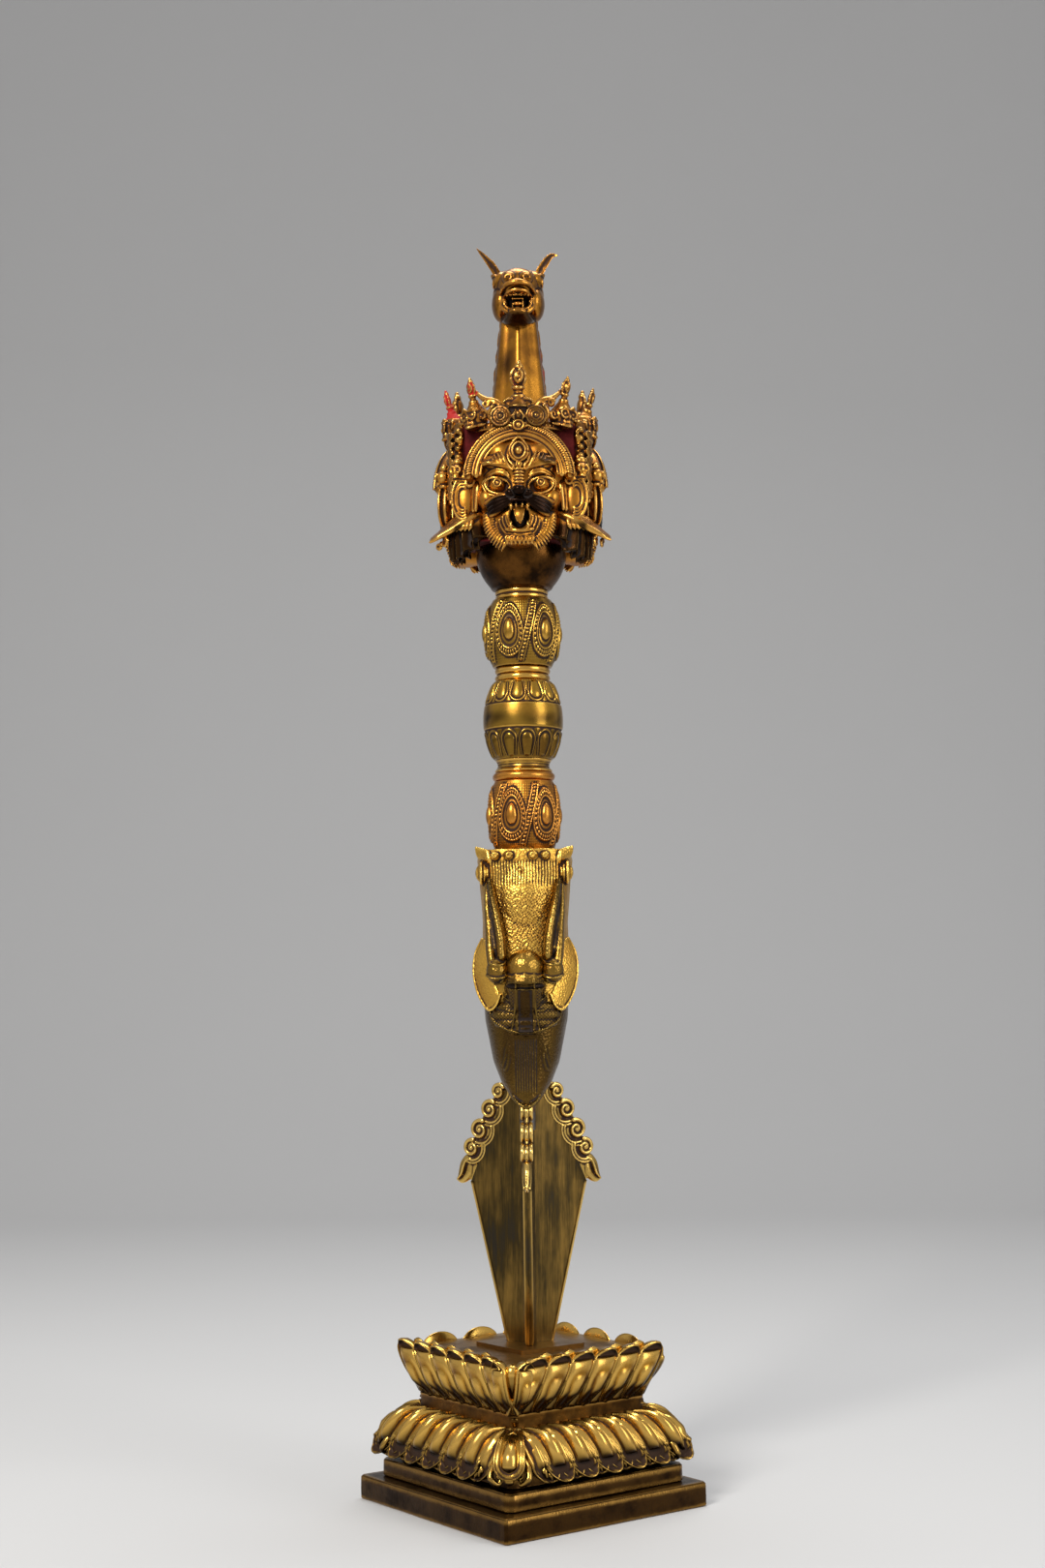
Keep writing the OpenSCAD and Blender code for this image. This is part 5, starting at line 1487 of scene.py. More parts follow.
def beard(form):
    """Striped tufts round the jaw and a curled tuft on the chin."""
    for x in (-1, 1):
        for i in range(13):
            a = math.radians(6 - i * 5.6)
            away = np.array([x * math.cos(a), math.sin(a)])
            down = np.array([x * 0.35, -0.94])
            start = np.array([0.0, MUZZLE[0]]) + away * 13.4
            tip = start + away * 4.2 + down * 1.5
            depth = muzzle_out(*(start * 0.93 + [0, MUZZLE[0] * 0.07]))
            tuft = [at_face(*start, depth - 0.4), at_face(*(start + away * 2.2 + down * 0.2), depth - 0.8),
                    at_face(*(start + away * 3.8 + down * 0.6), depth - 2.4), at_face(*tip, depth - 3.6)]
            form.tube(tuft, [0.9, 1.15, 0.85, 0.25], smooth=4, sides=8)
            stripe = start + away * 0.9 + down * 0.9
            line = [at_face(*stripe, depth + 0.3), at_face(*(stripe + away * 2.2 + down * 0.3), depth - 0.5),
                    at_face(*(stripe + away * 3.2 + down * 0.9), depth - 1.9)]
            form.tube(line, [0.3, 0.5, 0.2], smooth=4, sides=6)
    for i in range(7):
        u = (i - 3) * 1.95
        v = -31.2 + 0.15 * abs(i - 3)
        out = 39.4 - 0.35 * abs(i - 3)
        flat_ring(form, u, v, out, 1.05, 1.15, 0.45)
        form.ball(at_face(u, v, out - 1.0), (1.2, 1.5, 1.4), n=12)
        form.tube([at_face(u, v - 0.8, out - 0.4), at_face(u * 1.04, v - 2.2, out - 0.6),
                   at_face(u * 1.08 + 0.3, v - 3.0, out - 1.2)], [0.85, 0.65, 0.2], smooth=3, sides=6)


def blacken(obj):
    """Soot left on the nostrils, moustache, upper lip, brow ends and open mouth."""
    co = co_of(obj) / MM
    u, v, out = co[:, 0], co[:, 2] - FACE_Z, -co[:, 1]
    s = np.abs(u)
    nose = step(1.25 - np.hypot(u / 6.8, (v + 9.6) / 3.2), 0, 0.3) * step(out, 37, 40)
    droop = v + 14.4 + 0.3 * (s - 10)
    whisker = step(1.2 - np.hypot((s - 10.6) / 6.4, droop / 3.8), 0, 0.25)
    lip = step(1.2 - np.hypot(u / 8.5, (v + 13.2) / 1.5), 0, 0.3)
    brow = 0.8 * step(1.1 - np.hypot((u - 14.0) / 5.0, (v - 8.2) / 3.4), 0, 0.4)
    brow += 0.3 * step(1.1 - np.hypot((u + 12.0) / 6.0, (v - 6.6) / 3.4), 0, 0.4)
    # Painted shade inside the open mouth.
    mouth = step(1.1 - np.hypot(u / 5.2, (v + 20) / 6.0), 0, 0.3) * (1 - step(out, 38.6, 39.8))
    mark(obj, "black_and_shade", np.maximum.reduce([nose, whisker, lip, brow, mouth]) * step(out, 30, 33))


def faces():
    """The three wrathful faces."""
    form = face_base()
    for x in (-1, 1):
        eye_and_brow(form, x)
    nose_and_lips(form)
    beard(form)
    first = cast(form, "face_shape", in_mm(bpy.context.scene.phurba_dagger.skin) * 0.6, 1)
    blacken(first)
    mark_recesses(first, rounds=(5, 22), gain=1000.0)
    on_three_sides(first, "face_carved_{}", "face_{}", "face_gilt", "face_gilt")


def diadems():
    """Beaded hair bands with a jewel in the middle."""
    form = Form()
    n = 64
    a = np.linspace(math.radians(3), math.radians(177), n)

    def arch(r, out):
        return np.stack([r * np.cos(a), np.full(n, -out), FACE_Z + 0.3 + 1.02 * r * np.sin(a)], 1)
    for r, out, thick, flat in ((20.8, 35.6, 1.5, 0.9), (18.9, 36.2, 0.6, 1), (22.7, 36.0, 0.5, 1),
                                (24.6, 31.4, 2.4, 1.8), (27.0, 34.2, 0.6, 1)):
        form.tube(arch(r, out), thick, flat=flat, up=(0, 1, 0), sides=10)
    for t in np.linspace(math.radians(4), math.radians(176), 62):
        c, s = math.cos(t), math.sin(t)
        lean = turn_y(-(t - math.pi / 2) + 0.35 * (1 if c > 0 else -1))
        form.ball((24.8 * c, -35.4, FACE_Z + 0.3 + 25.3 * s), (0.52, 1.3, 1.9), lean, n=10)
    form.ball(at_face(0, 25.6, 36.4), (3.0, 2.6, 2.6), n=20)
    flat_ring(form, 0, 25.4, 38.6, 2.5, 2.3, 0.6)
    form.ball(at_face(0, 25.4, 38.9), (1.3, 1.0, 1.3), n=14)
    for x in (-1, 1):
        form.tube(face_path(x, (2.4, 24.4, 37.4), (4.4, 25.6, 36.8), (6.4, 25.0, 36.4)),
                  [0.7, 0.8, 0.3], smooth=3, sides=8)
    first = cast(form, "diadem_shape", 0.34, 1)
    mark_recesses(first, rounds=(4, 14), gain=1300.0)
    mark(first, "black_and_shade", 0)
    on_three_sides(first, "diadem_band_{}", "diadem_{}", "face_gilt", "face_gilt")


def ears():
    """Long ears: a ringed oval disc, a curled top and a small skull above each."""
    form = Form()
    for x in (-1, 1):
        form.ball((x * 28.0, -26.0, FACE_Z - 8.4), (5.0, 2.4, 10.2), turn_z(x * 0.3), n=28)
        for k, thick in ((1.0, 0.75), (0.84, 0.42), (0.7, 0.42), (0.56, 0.35)):
            t = np.radians(np.linspace(-112, 118, 40))
            form.wire([(x * (28.0 + 5.2 * k * math.cos(q)), -28.2 + 0.5 * math.cos(q) - 0.6 * (1 - k),
                        FACE_Z - 8.4 + 10.4 * k * math.sin(q)) for q in t], thick)
        form.tube(flip(x, (24, -24, FACE_Z - 17), (25.5, -24, FACE_Z - 4), (25.5, -23.5, FACE_Z + 6)),
                  [3.0, 3.6, 3.0], smooth=3)
        for c, r, turns, start in (((x * 24.6, FACE_Z - 0.4), 2.4, 1.3, 0.5),
                                   ((x * 26.6, FACE_Z + 3.0), 1.9, 1.2, 2.0),
                                   ((x * 25.4, FACE_Z + 6.8), 1.9, 1.2, 1.0)):
            scroll(form, c, -28.4, r, turns, start, x, 22, (0.95, 0.55))
            form.ball((c[0], -26.4, c[1]), (r, 1.8, r), n=16)
        top = np.array([x * 30.6, -26.5, FACE_Z + 5.4])
        small_skull(form, top, 3.8, turn_z(x * 0.3))
        form.ball(top + [-x * 0.6, 0.5, -4.6], (3.2, 2.8, 1.3), n=14)
        form.ball(top + [-x * 0.4, 0.8, 4.6], (3.0, 2.6, 2.2), n=14)
        for i in range(4):
            form.tube(flip(x, (23.5 + i * 1.7, -27.5 + i * 0.5, FACE_Z - 19.5),
                           (24.0 + i * 1.9, -28.4 + i * 0.5, FACE_Z - 22.4),
                           (25.2 + i * 2.1, -28.0 + i * 0.5, FACE_Z - 24.6)), [1.2, 1.1, 0.3], smooth=3,
                      sides=8)
    first = cast(form, "ear_shape", 0.4, 1)
    mark_recesses(first, rounds=(4, 14), gain=1200.0)
    mark(first, "black_and_shade", 0)
    on_three_sides(first, "ear_pair_{}", "ears_{}", "face_gilt", "face_gilt")


def small_skull(form, centre, r, turn=np.eye(3)):
    """Adds a skull that looks along -Y: round crown, ringed eyes, nose hollow and a row of teeth."""
    c = np.asarray(centre, float)

    def put(p):
        return c + turn @ (np.asarray(p, float) * r)
    form.ball(c, (r * 0.98, r, r * 0.95), turn, n=20)
    form.ball(put((0, -0.35, -0.62)), (r * 0.6, r * 0.62, r * 0.5), turn, n=16)
    for x in (-1, 1):
        a = np.linspace(0, 2 * math.pi * 0.97, 20)
        ring = [put((x * 0.42 + 0.33 * math.cos(t), -0.9 - 0.02 * math.cos(t),
                     0.0 + 0.33 * math.sin(t))) for t in a]
        form.tube(ring, 0.105 * r, sides=6, round_ends=False)
        form.ball(put((x * 0.42, -0.84, 0.0)), 0.15 * r, n=8)
        form.tube([put((x * 0.08, -0.98, 0.36)), put((x * 0.45, -0.94, 0.52)), put((x * 0.8, -0.66, 0.34))],
                  [0.08 * r, 0.13 * r, 0.06 * r], smooth=3, sides=6)
    form.ball(put((0, -1.02, -0.22)), (0.13 * r, 0.12 * r, 0.2 * r), turn, n=8)
    for i in range(-2, 3):
        form.ball(put((i * 0.19, -0.93 + abs(i) * 0.06, -0.62)), (0.1 * r, 0.1 * r, 0.17 * r), turn, n=8)
    form.tube([put((-0.52, -0.6, -0.86)), put((0, -0.95, -0.96)), put((0.52, -0.6, -0.86))],
              [0.1 * r, 0.16 * r, 0.1 * r], smooth=3, sides=6)


def flares():
    """Hair at the three corners: ornament chains, a swept tuft and a curtain of folded locks."""
    form = Form()
    for i in range(9):
        s = (i - 4) / 4
        form.tube([(s * 11.5, -30, 482 - 2.5 * s * s), (s * 9.6, -36.5, 477.6 - 1.6 * abs(s)),
                   (s * 6.2, -42.8, 472.6 - 1.0 * abs(s)), (s * 3.4, -48.2, 468.2),
                   (s * 1.2, -51.6 + 1.2 * abs(s), 466.0)], [2.2, 2.3, 1.8, 1.3, 0.45], smooth=5, sides=10)
        form.tube([(s * 11.0, -33, 482), (s * 9.0, -38.4, 478.4 - 1.4 * abs(s)),
                   (s * 5.8, -44.0, 473.2 - abs(s))], [0.5, 0.9, 0.3], smooth=5, sides=6)
    for s in (-1, 1):
        curl = spiral((0, 0), 2.2, 1.2, 0.6, s, n=20)
        form.tube([(s * 3.4 + cx, -44.6 + 0.2 * cx, 465.4 + cz) for cx, cz in curl],
                  np.linspace(1.0, 0.6, 20), sides=8)
        for k in range(5):
            form.tube([(s * (6 + 2.2 * k), -31.5, 500 - 1.2 * k),
                       (s * (6.8 + 2.2 * k), -34.6 + 0.5 * k, 491),
                       (s * (6.2 + 2.2 * k), -35.4 + 0.5 * k, 481)], [1.2, 1.6, 1.0], smooth=4, sides=8)
        chain = [(s * (5.4 + 0.9 * math.sin(0.9 * i)), -36.6, 488 + 2.0 * i) for i in range(18)]
        form.tube(chain, 1.2, smooth=3, sides=8)
    for i in range(8):
        z = 490 + 4.3 * i
        form.ball((0, -38.2, z), (3.2, 2.4, 1.9), n=16)
        form.tube([(2.8 * math.cos(t), -40.0, z + 1.7 * math.sin(t)) for t in np.linspace(0, 6.1, 18)],
                  0.45, up=(0, 1, 0), sides=6, round_ends=False)
        for s in (-1, 1):
            form.ball((s * 4.6, -37.6, z + 2.0), (2.3, 1.9, 1.6), n=12)
    form.ball((0, -30.5, 489), (13, 3.6, 10), n=20)
    form.tube([(0, -35.0, 488), (0, -35.4, 505), (0, -35.0, 523)], 5.6, flat=0.4, up=(0, 1, 0), sides=16)
    folds = 7
    sheet = []
    for z in np.linspace(480, 456.5, 16):
        fall = (480 - z) / 23.5
        across = np.linspace(-1, 1, 90)
        wave = np.cos(across * math.pi * folds + 0.9 * np.sin(across * 4)) * (0.6 + 1.3 * fall)
        out = 37.4 - 7.5 * across**2 + wave + 1.2 * math.sin(math.pi * min(1.0, fall * 1.1))
        hem = 1.2 * np.sin(across * math.pi * folds + 0.8) * step(fall, 0.6, 1.0) + 13.0 * across**2 * fall
        outer = np.stack([across * (12.6 + 1.6 * fall), -out, z + hem], 1)
        back = np.stack([across * (12.2 + 1.6 * fall), -out + 3.4, z + hem], 1)
        sheet.append(np.vstack([outer, back[::-1]]))
    form.grid(np.array(sheet))
    form.ball((0, -28.0, 473), (10.0, 7.0, 7.0), n=28)
    first = cast(form, "flare_shape", 0.45, 2)
    mark_recesses(first, rounds=(4, 14), gain=1200.0)
    co = co_of(first) / MM
    # The curtain's lower part under the hair is near black, painted shade under the flares; higher up the
    # chains are darker in waves.
    hang = (1 - step(co[:, 2], 473, 476)) * (1 - step(-co[:, 1], 41.5, 43.5))
    chains = 0.55 * step(co[:, 2], 494, 500) * (0.6 + 0.4 * np.sin(co[:, 2] * 0.8 + co[:, 0]))
    mark(first, "black_and_shade", np.maximum(0.94 * hang, chains))
    on_three_sides(first, "flare_{}_hair", "flare_{}", "face_gilt", "face_gilt", THIRD / 2,
                   ("right", "back", "left"))


def finial_form(h):
    """Stacked mouldings under a spiral jewel, upright from the origin, facing -Y."""
    form = Form()
    outline = [(0, 0), (0.27, 0), (0.25, 0.05), (0.19, 0.13), (0.15, 0.2), (0.16, 0.22), (0.16, 0.26),
               (0.1, 0.29), (0.1, 0.37), (0.14, 0.4), (0.14, 0.45), (0.08, 0.48), (0, 0.5)]
    form.revolve([(max(0.01, a * h), b * h) for a, b in outline], 28)
    form.ball((0, 0, 0.66 * h), (0.12 * h, 0.1 * h, 0.2 * h), n=18)
    curl = spiral((0, 0), 0.13 * h, 1.4, 1.2, -1, n=22)
    form.wire([(x * 0.72, -0.09 * h, 0.66 * h + 1.15 * z) for x, z in curl],
              np.linspace(0.042 * h, 0.03 * h, 22))
    form.ball((0, -0.11 * h, 0.66 * h), 0.04 * h, n=10)
    form.ball((0.02 * h, 0, 0.87 * h), (0.1 * h, 0.08 * h, 0.08 * h), n=14)
    form.ball((0.02 * h, 0, 0.96 * h), (0.05 * h, 0.05 * h, 0.06 * h), n=12)
    for x in (-1, 1):
        form.tube([(x * 0.1 * h, 0, 0.5 * h), (x * 0.14 * h, 0, 0.6 * h), (x * 0.14 * h, 0, 0.74 * h),
                   (x * 0.08 * h, 0, 0.84 * h)], [0.04 * h, 0.045 * h, 0.04 * h, 0.03 * h], smooth=3,
                  sides=8)
    return form


def middle_skull(form, z):
    """Wide skull with spectacle rings round the eyes and a heart-shaped crest over its nose."""
    y = -35.0
    form.ball((0, y + 2.0, z + 0.5), (11.5, 5.0, 6.5), n=28)
    form.ball((0, y + 1.0, z + 4.4), (7.5, 4.6, 4.2), n=24)
    for x in (-1, 1):
        for r, t, lift in ((4.7, 0.6, 0.0), (3.3, 0.42, 0.5), (2.1, 0.35, 0.9)):
            a = np.linspace(0, 2 * math.pi * 0.98, 36)
            form.wire([(x * (8.8 + r * math.cos(t0)), y - 2.9 - lift + 0.16 * (r * math.cos(t0) + 3),
                        z - 0.6 + r * math.sin(t0)) for t0 in a], t, round_ends=False)
        form.ball((x * 8.8, y - 2.2, z - 0.6), (1.4, 1.6, 1.4), n=16)
        form.ball((x * 8.8, y + 1.5, z - 0.6), (5.0, 4.6, 5.0), n=20)
        a = np.linspace(0.3, math.pi + 0.9, 26)
        form.wire([(x * (4.0 + 3.4 * math.cos(t0)), y - 2.6, z + 5.2 + 2.7 * math.sin(t0)) for t0 in a],
                  np.linspace(0.5, 0.8, 26))
        form.ball((x * 4.0, y - 0.6, z + 5.0), (2.9, 2.8, 2.4), n=16)
        form.tube(flip(x, (1.0, y - 3.2, z + 2.2), (2.6, y - 3.5, z - 1.0), (1.6, y - 3.3, z - 3.2)),
                  [0.5, 0.7, 0.35], smooth=4, sides=8)
        form.tube(flip(x, (12.6, y + 0.6, z + 5.0), (14.2, y + 1.8, z + 1.6), (13.2, y + 2.2, z - 2.4)),
                  [1.2, 1.5, 1.0], smooth=4, sides=10)
    form.ball((0, y - 2.4, z + 0.2), (1.5, 1.5, 2.2), n=14)
    for i in range(-3, 4):
        form.ball((i * 1.7, y - 2.4 + 0.1 * abs(i), z - 4.9 + 0.12 * i * i), (0.8, 0.9, 1.1), n=8)


def crowns():
    """Nine skulls on their bands, each under a jewelled finial, three to a crown."""
    z0 = low("crown_front")
    form = Form()
    span = np.radians(np.linspace(-90 - 58, -90 + 58, 60))
    for r, z, t in ((29.4, z0 + 1.6, 1.7), (31.6, z0 + 0.2, 0.9), (31.8, z0 + 2.4, 0.8)):
        form.tube([(r * math.cos(a), r * math.sin(a), z) for a in span], t, sides=10)
    for a in np.radians(np.linspace(-90 - 56, -90 + 56, 33)):
        form.ball((32.2 * math.cos(a), 32.2 * math.sin(a), z0 + 1.3), (0.85, 0.85, 0.75), n=10)
    middle_skull(form, z0 + 4.6)
    form.join(finial_form(23.0), turn_x(math.radians(7)), (0, -34.6, z0 + 8.6))
    for x in (-1, 1):
        turn = turn_z(x * THIRD / 3)
        side = Form()
        small_skull(side, (0, -33.0, z0 + 6.4), 6.4)
        side.join(finial_form(15.5), turn_x(math.radians(15)), (0, -33.8, z0 + 10.6))
        for s in (-1, 1):
            scroll(side, (s * 7.2, z0 + 6.0), -35.4, 2.5, 1.3, 0.4, s, 20, (0.9, 0.5))
            side.ball((s * 7.2, -34.2, z0 + 6.0), (2.3, 1.2, 2.3), n=12)
        side.tube([(-6, -33.5, z0 + 2.0), (0, -37.2, z0 + 0.8), (6, -33.5, z0 + 2.0)], [0.8, 1.1, 0.8],
                  smooth=5)
        form.join(side, turn)
        form.tube(flip(x, (7.5, -32.5, z0 + 8.4), (11.6, -32.4, z0 + 12.2), (16.0, -30.6, z0 + 14.0),
                       (19.4, -28.4, z0 + 17.0), (20.6, -27.6, z0 + 19.4)), [1.8, 2.1, 1.7, 1.2, 0.5],
                  flat=0.8, up=(0, 1, 0), smooth=5)
        for reach, rise, r in ((11.4, 9.6, 2.3), (16.2, 11.6, 1.9)):
            y = -33.6 + 0.25 * (reach - 11)
            scroll(form, (x * reach, z0 + rise), y, r, 1.3, 0.6, x, 22, (0.85, 0.5))
            form.ball((x * reach, -32.0 + 0.25 * (reach - 11), z0 + rise), (r, 1.4, r), n=12)
    first = cast(form, "crown_shape", 0.4, 1)
    mark_recesses(first, rounds=(4, 14), gain=1200.0)
    co = co_of(first) / MM
    angle = np.arctan2(co[:, 0], -co[:, 1])
    z = co[:, 2] - z0
    middle = step(0.40 - np.abs(angle), 0, 0.05)
    mark(first, "black_and_shade", 0.5 * middle * (1 - step(z, 9.8, 11.4)) * step(-co[:, 1], 31, 33))
    finial = step(z, 14.5, 17.5)

    def paint(obj, k):
        red = (0.35 * finial + 0.35 * (angle < -0.4) * finial, 0.25 * finial,
               0.3 * finial + 0.9 * (angle > 0.3) * step(z, 8, 12))[k]
        mark(obj, "painted", red + 0.12)
    on_three_sides(first, "crown_skulls_{}", "crown_{}", "crown_gilt", "crown_gilt", paint=paint)


def neck_bowl():
    """Bowl under the head, with soft upright flutes."""
    z0, z1 = low("neck_cup"), high("neck_cup")
    h = z1 - z0
    t = np.linspace(0, 1, 30)
    r = 23.0 * np.sqrt(np.clip(1 - ((1 - t) * math.sqrt(1 - (13.4 / 23.0) ** 2)) ** 2, 0, 1))
    outline = [(ROD_HOLE, z0)] + [(a, z0 + h * b) for a, b in zip(r, t)] + [(ROD_HOLE, z1)]

    def relief(a, z):
        v = (z - z0) / h
        return 0.06 * np.cos(a * 9 + 3 * v) + 0.4 * hill(v - 0.06, 0.035)
    obj = round_skin("neck_bowl", outline, relief, 120, 300)
    dress(obj, finish("bowl_gilt"), "dagger", ["neck_cup"], "dark_gilt", rounds=(4, 14), gain=1200.0)


def makara_section(t):
    """Half width, front and back of the makara casting at a share of its height."""
    at = [0, 0.04, 0.1, 0.18, 0.34, 0.52, 0.72, 0.88, 0.97, 1]
    return (24.2 * np.interp(t, at, [0.1, 0.3, 0.5, 0.67, 0.83, 0.88, 0.86, 0.92, 0.97, 0.92]),
            24.6 * np.interp(t, at, [0.92, 0.96, 0.98, 0.99, 1.0, 0.98, 0.92, 0.87, 0.85, 0.82]),
            22.6 * np.interp(t, at, [-0.8, -0.3, 0.3, 0.68, 0.9, 0.97, 0.98, 1, 1, 0.94]))


def makara_skull():
    """Casting of the makara: stippled brow, hair line, hollow cheeks, tapered mouth with a lip."""
    z0, z1 = low("makara_head"), high("makara_head")
    form = Form()
    rows = np.concatenate([np.linspace(0, 0.1, 8), np.linspace(0.12, 1, 50)])
    a = np.linspace(0, 2 * math.pi, 72, endpoint=False)
    ca = np.sign(np.cos(a)) * np.abs(np.cos(a)) ** 0.8
    sa = np.sign(np.sin(a)) * np.abs(np.sin(a)) ** 0.8
    net = []
    for t in rows:
        w, f, b = makara_section(t)
        net.append(np.stack([w * ca, (b - f) / 2 + (b + f) / 2 * sa, np.full(72, z0 + (z1 - z0) * t)], 1))
    form.grid(np.array(net))
    form.ball((0, -14, 290), (14.5, 10.0, 27), n=32)
    for x, r in ((-14.2, 2.2), (-7.3, 2.4), (4.4, 2.4), (10.4, 2.2)):
        form.ball((x, -19.6 - 0.05 * (13 - abs(x)), 311.6), (r, 2.2, r), n=16)
        scroll(form, (x, 311.6), -22.0 - 0.05 * (13 - abs(x)), r * 0.72, 1.1, 0.5, 1, 16, (0.6, 0.4))
    flat = [(-2.2 + 1.2 * math.cos(t), -24.3, 305.4 + 1.2 * math.sin(t)) for t in np.linspace(0, 6.1, 14)]
    form.wire(flat, 0.55, round_ends=False)
    form.ball((-2.2, -24.2, 305.4), 0.5, n=8)
    for x in (-1, 1):
        for i in range(6):
            form.tube(flip(x, (14.5 + 0.5 * i, -15.5 + 1.6 * i, 305.5),
                           (17.0 + 1.0 * i, -16.0 + 1.2 * i, 310.5 + 0.4 * i),
                           (18.0 + 1.1 * i, -15.6 + 1.0 * i, 314.4 + 0.35 * i)), [1.5, 1.6, 0.9], smooth=4,
                      sides=8)
        form.ball((x * 20.4, -13.4, 303.6), (3.7, 4.4, 4.8), n=22)
        lid = [(x * 21.2, -13.4 + 4.9 * math.cos(t), 303.6 + 5.2 * math.sin(t))
               for t in np.linspace(0, 6.1, 30)]
        form.tube(lid, 0.7, up=(1, 0, 0), sides=8, round_ends=False)
        flame = flip(x, (8.0, -23.0, 223.5), (9.2, -22.2, 218.5), (9.9, -21.4, 213.8), (11.2, -19.6, 210.4),
                     (11.6, -18.8, 212.6))
        form.wire(flame, [0.4, 0.9, 1.0, 0.9, 0.4], smooth=5)
        form.wire(flip(x, (8.2, -23.1, 219), (8.4, -22.6, 213.5), (9.6, -21.4, 208.8),
                       (11.4, -19.0, 208.4)), [0.3, 0.8, 0.8, 0.3], smooth=5)
        form.wire(flip(x, (10.0, -21.5, 221), (10.9, -20.6, 216.2), (11.9, -18.6, 214.2)), [0.3, 0.7, 0.3],
                  smooth=5)
    lip = [(-7.6, -19.6, 197.6), (-5.4, -22.6, 193.8), (-2.4, -24.6, 191.2), (0, -25.0, 190.2),
           (2.4, -24.6, 191.2), (5.4, -22.6, 193.8), (7.6, -19.6, 197.6)]
    form.wire(lip, [0.3, 0.8, 1.0, 1.0, 1.0, 0.8, 0.3], smooth=5)

    def relief(co, normal):
        x, y, z = co.T
        front = step(-normal[:, 1], 0.2, 0.6)
        hair = -0.3 * (0.5 + 0.5 * np.cos(x * 4.4 + 0.5 * np.sin(z * 0.7)))
        hair = hair * step(z, 294, 300) * (1 - step(z, 308, 310))
        worm = 0.16 * np.sin(x * 3.6 + 1.8 * np.sin(z * 1.1)) * np.sin(z * 3.1 + 1.7 * np.sin(x * 1.3))
        brow = worm * step(z, 262, 266) * (1 - step(z, 292, 300)) * (np.abs(x) < 14)
        a = np.arctan2(y, x)
        behind = step(y, -6, 2) * step(z, 214, 232) * (1 - step(z, 310, 314))
        lock = 0.75 * np.abs(np.sin(a * 9 + 0.9 * np.sin(z * 0.11)))
        lock = lock + 0.18 * np.cos(a * 66 + 5 * np.sin(z * 0.11))
        seam = -0.35 * (0.5 + 0.5 * np.cos(x * 5.0)) * step(225 - z, 0, 5)
        seam = seam * step(z, 194, 200) * (np.abs(x) < 6)
        return (hair + brow + seam) * front + (lock - 0.5) * behind
    obj = cast(form, "makara_skull", 0.42, 1, relief)
    x, y, z = (co_of(obj) / MM).T
    # Below the trunk the casting is dark, partly brown patina and partly painted shade; under adds a painted
    # shadow of the trunk above the lip, and beside darkens the casting along the horns.
    under = step(-y, 16, 20) * (1 - step(z, 228, 238)) * step(z, 199, 214) * (1 - step(np.abs(x), 9, 13))
    beside = hill((np.abs(x) - 12.5) / 1.0, 4.2) * hill(z - 272, 24) * step(-y, 17, 21)
    mark(obj, "black_and_shade", np.maximum(0.84 * (1 - step(z, 236, 252)) + 0.08 * under, 0.75 * beside))
    dress(obj, finish("makara_gilt"), "dagger", ["makara_head"], "makara_gilt", rounds=(4, 16), gain=1200.0)


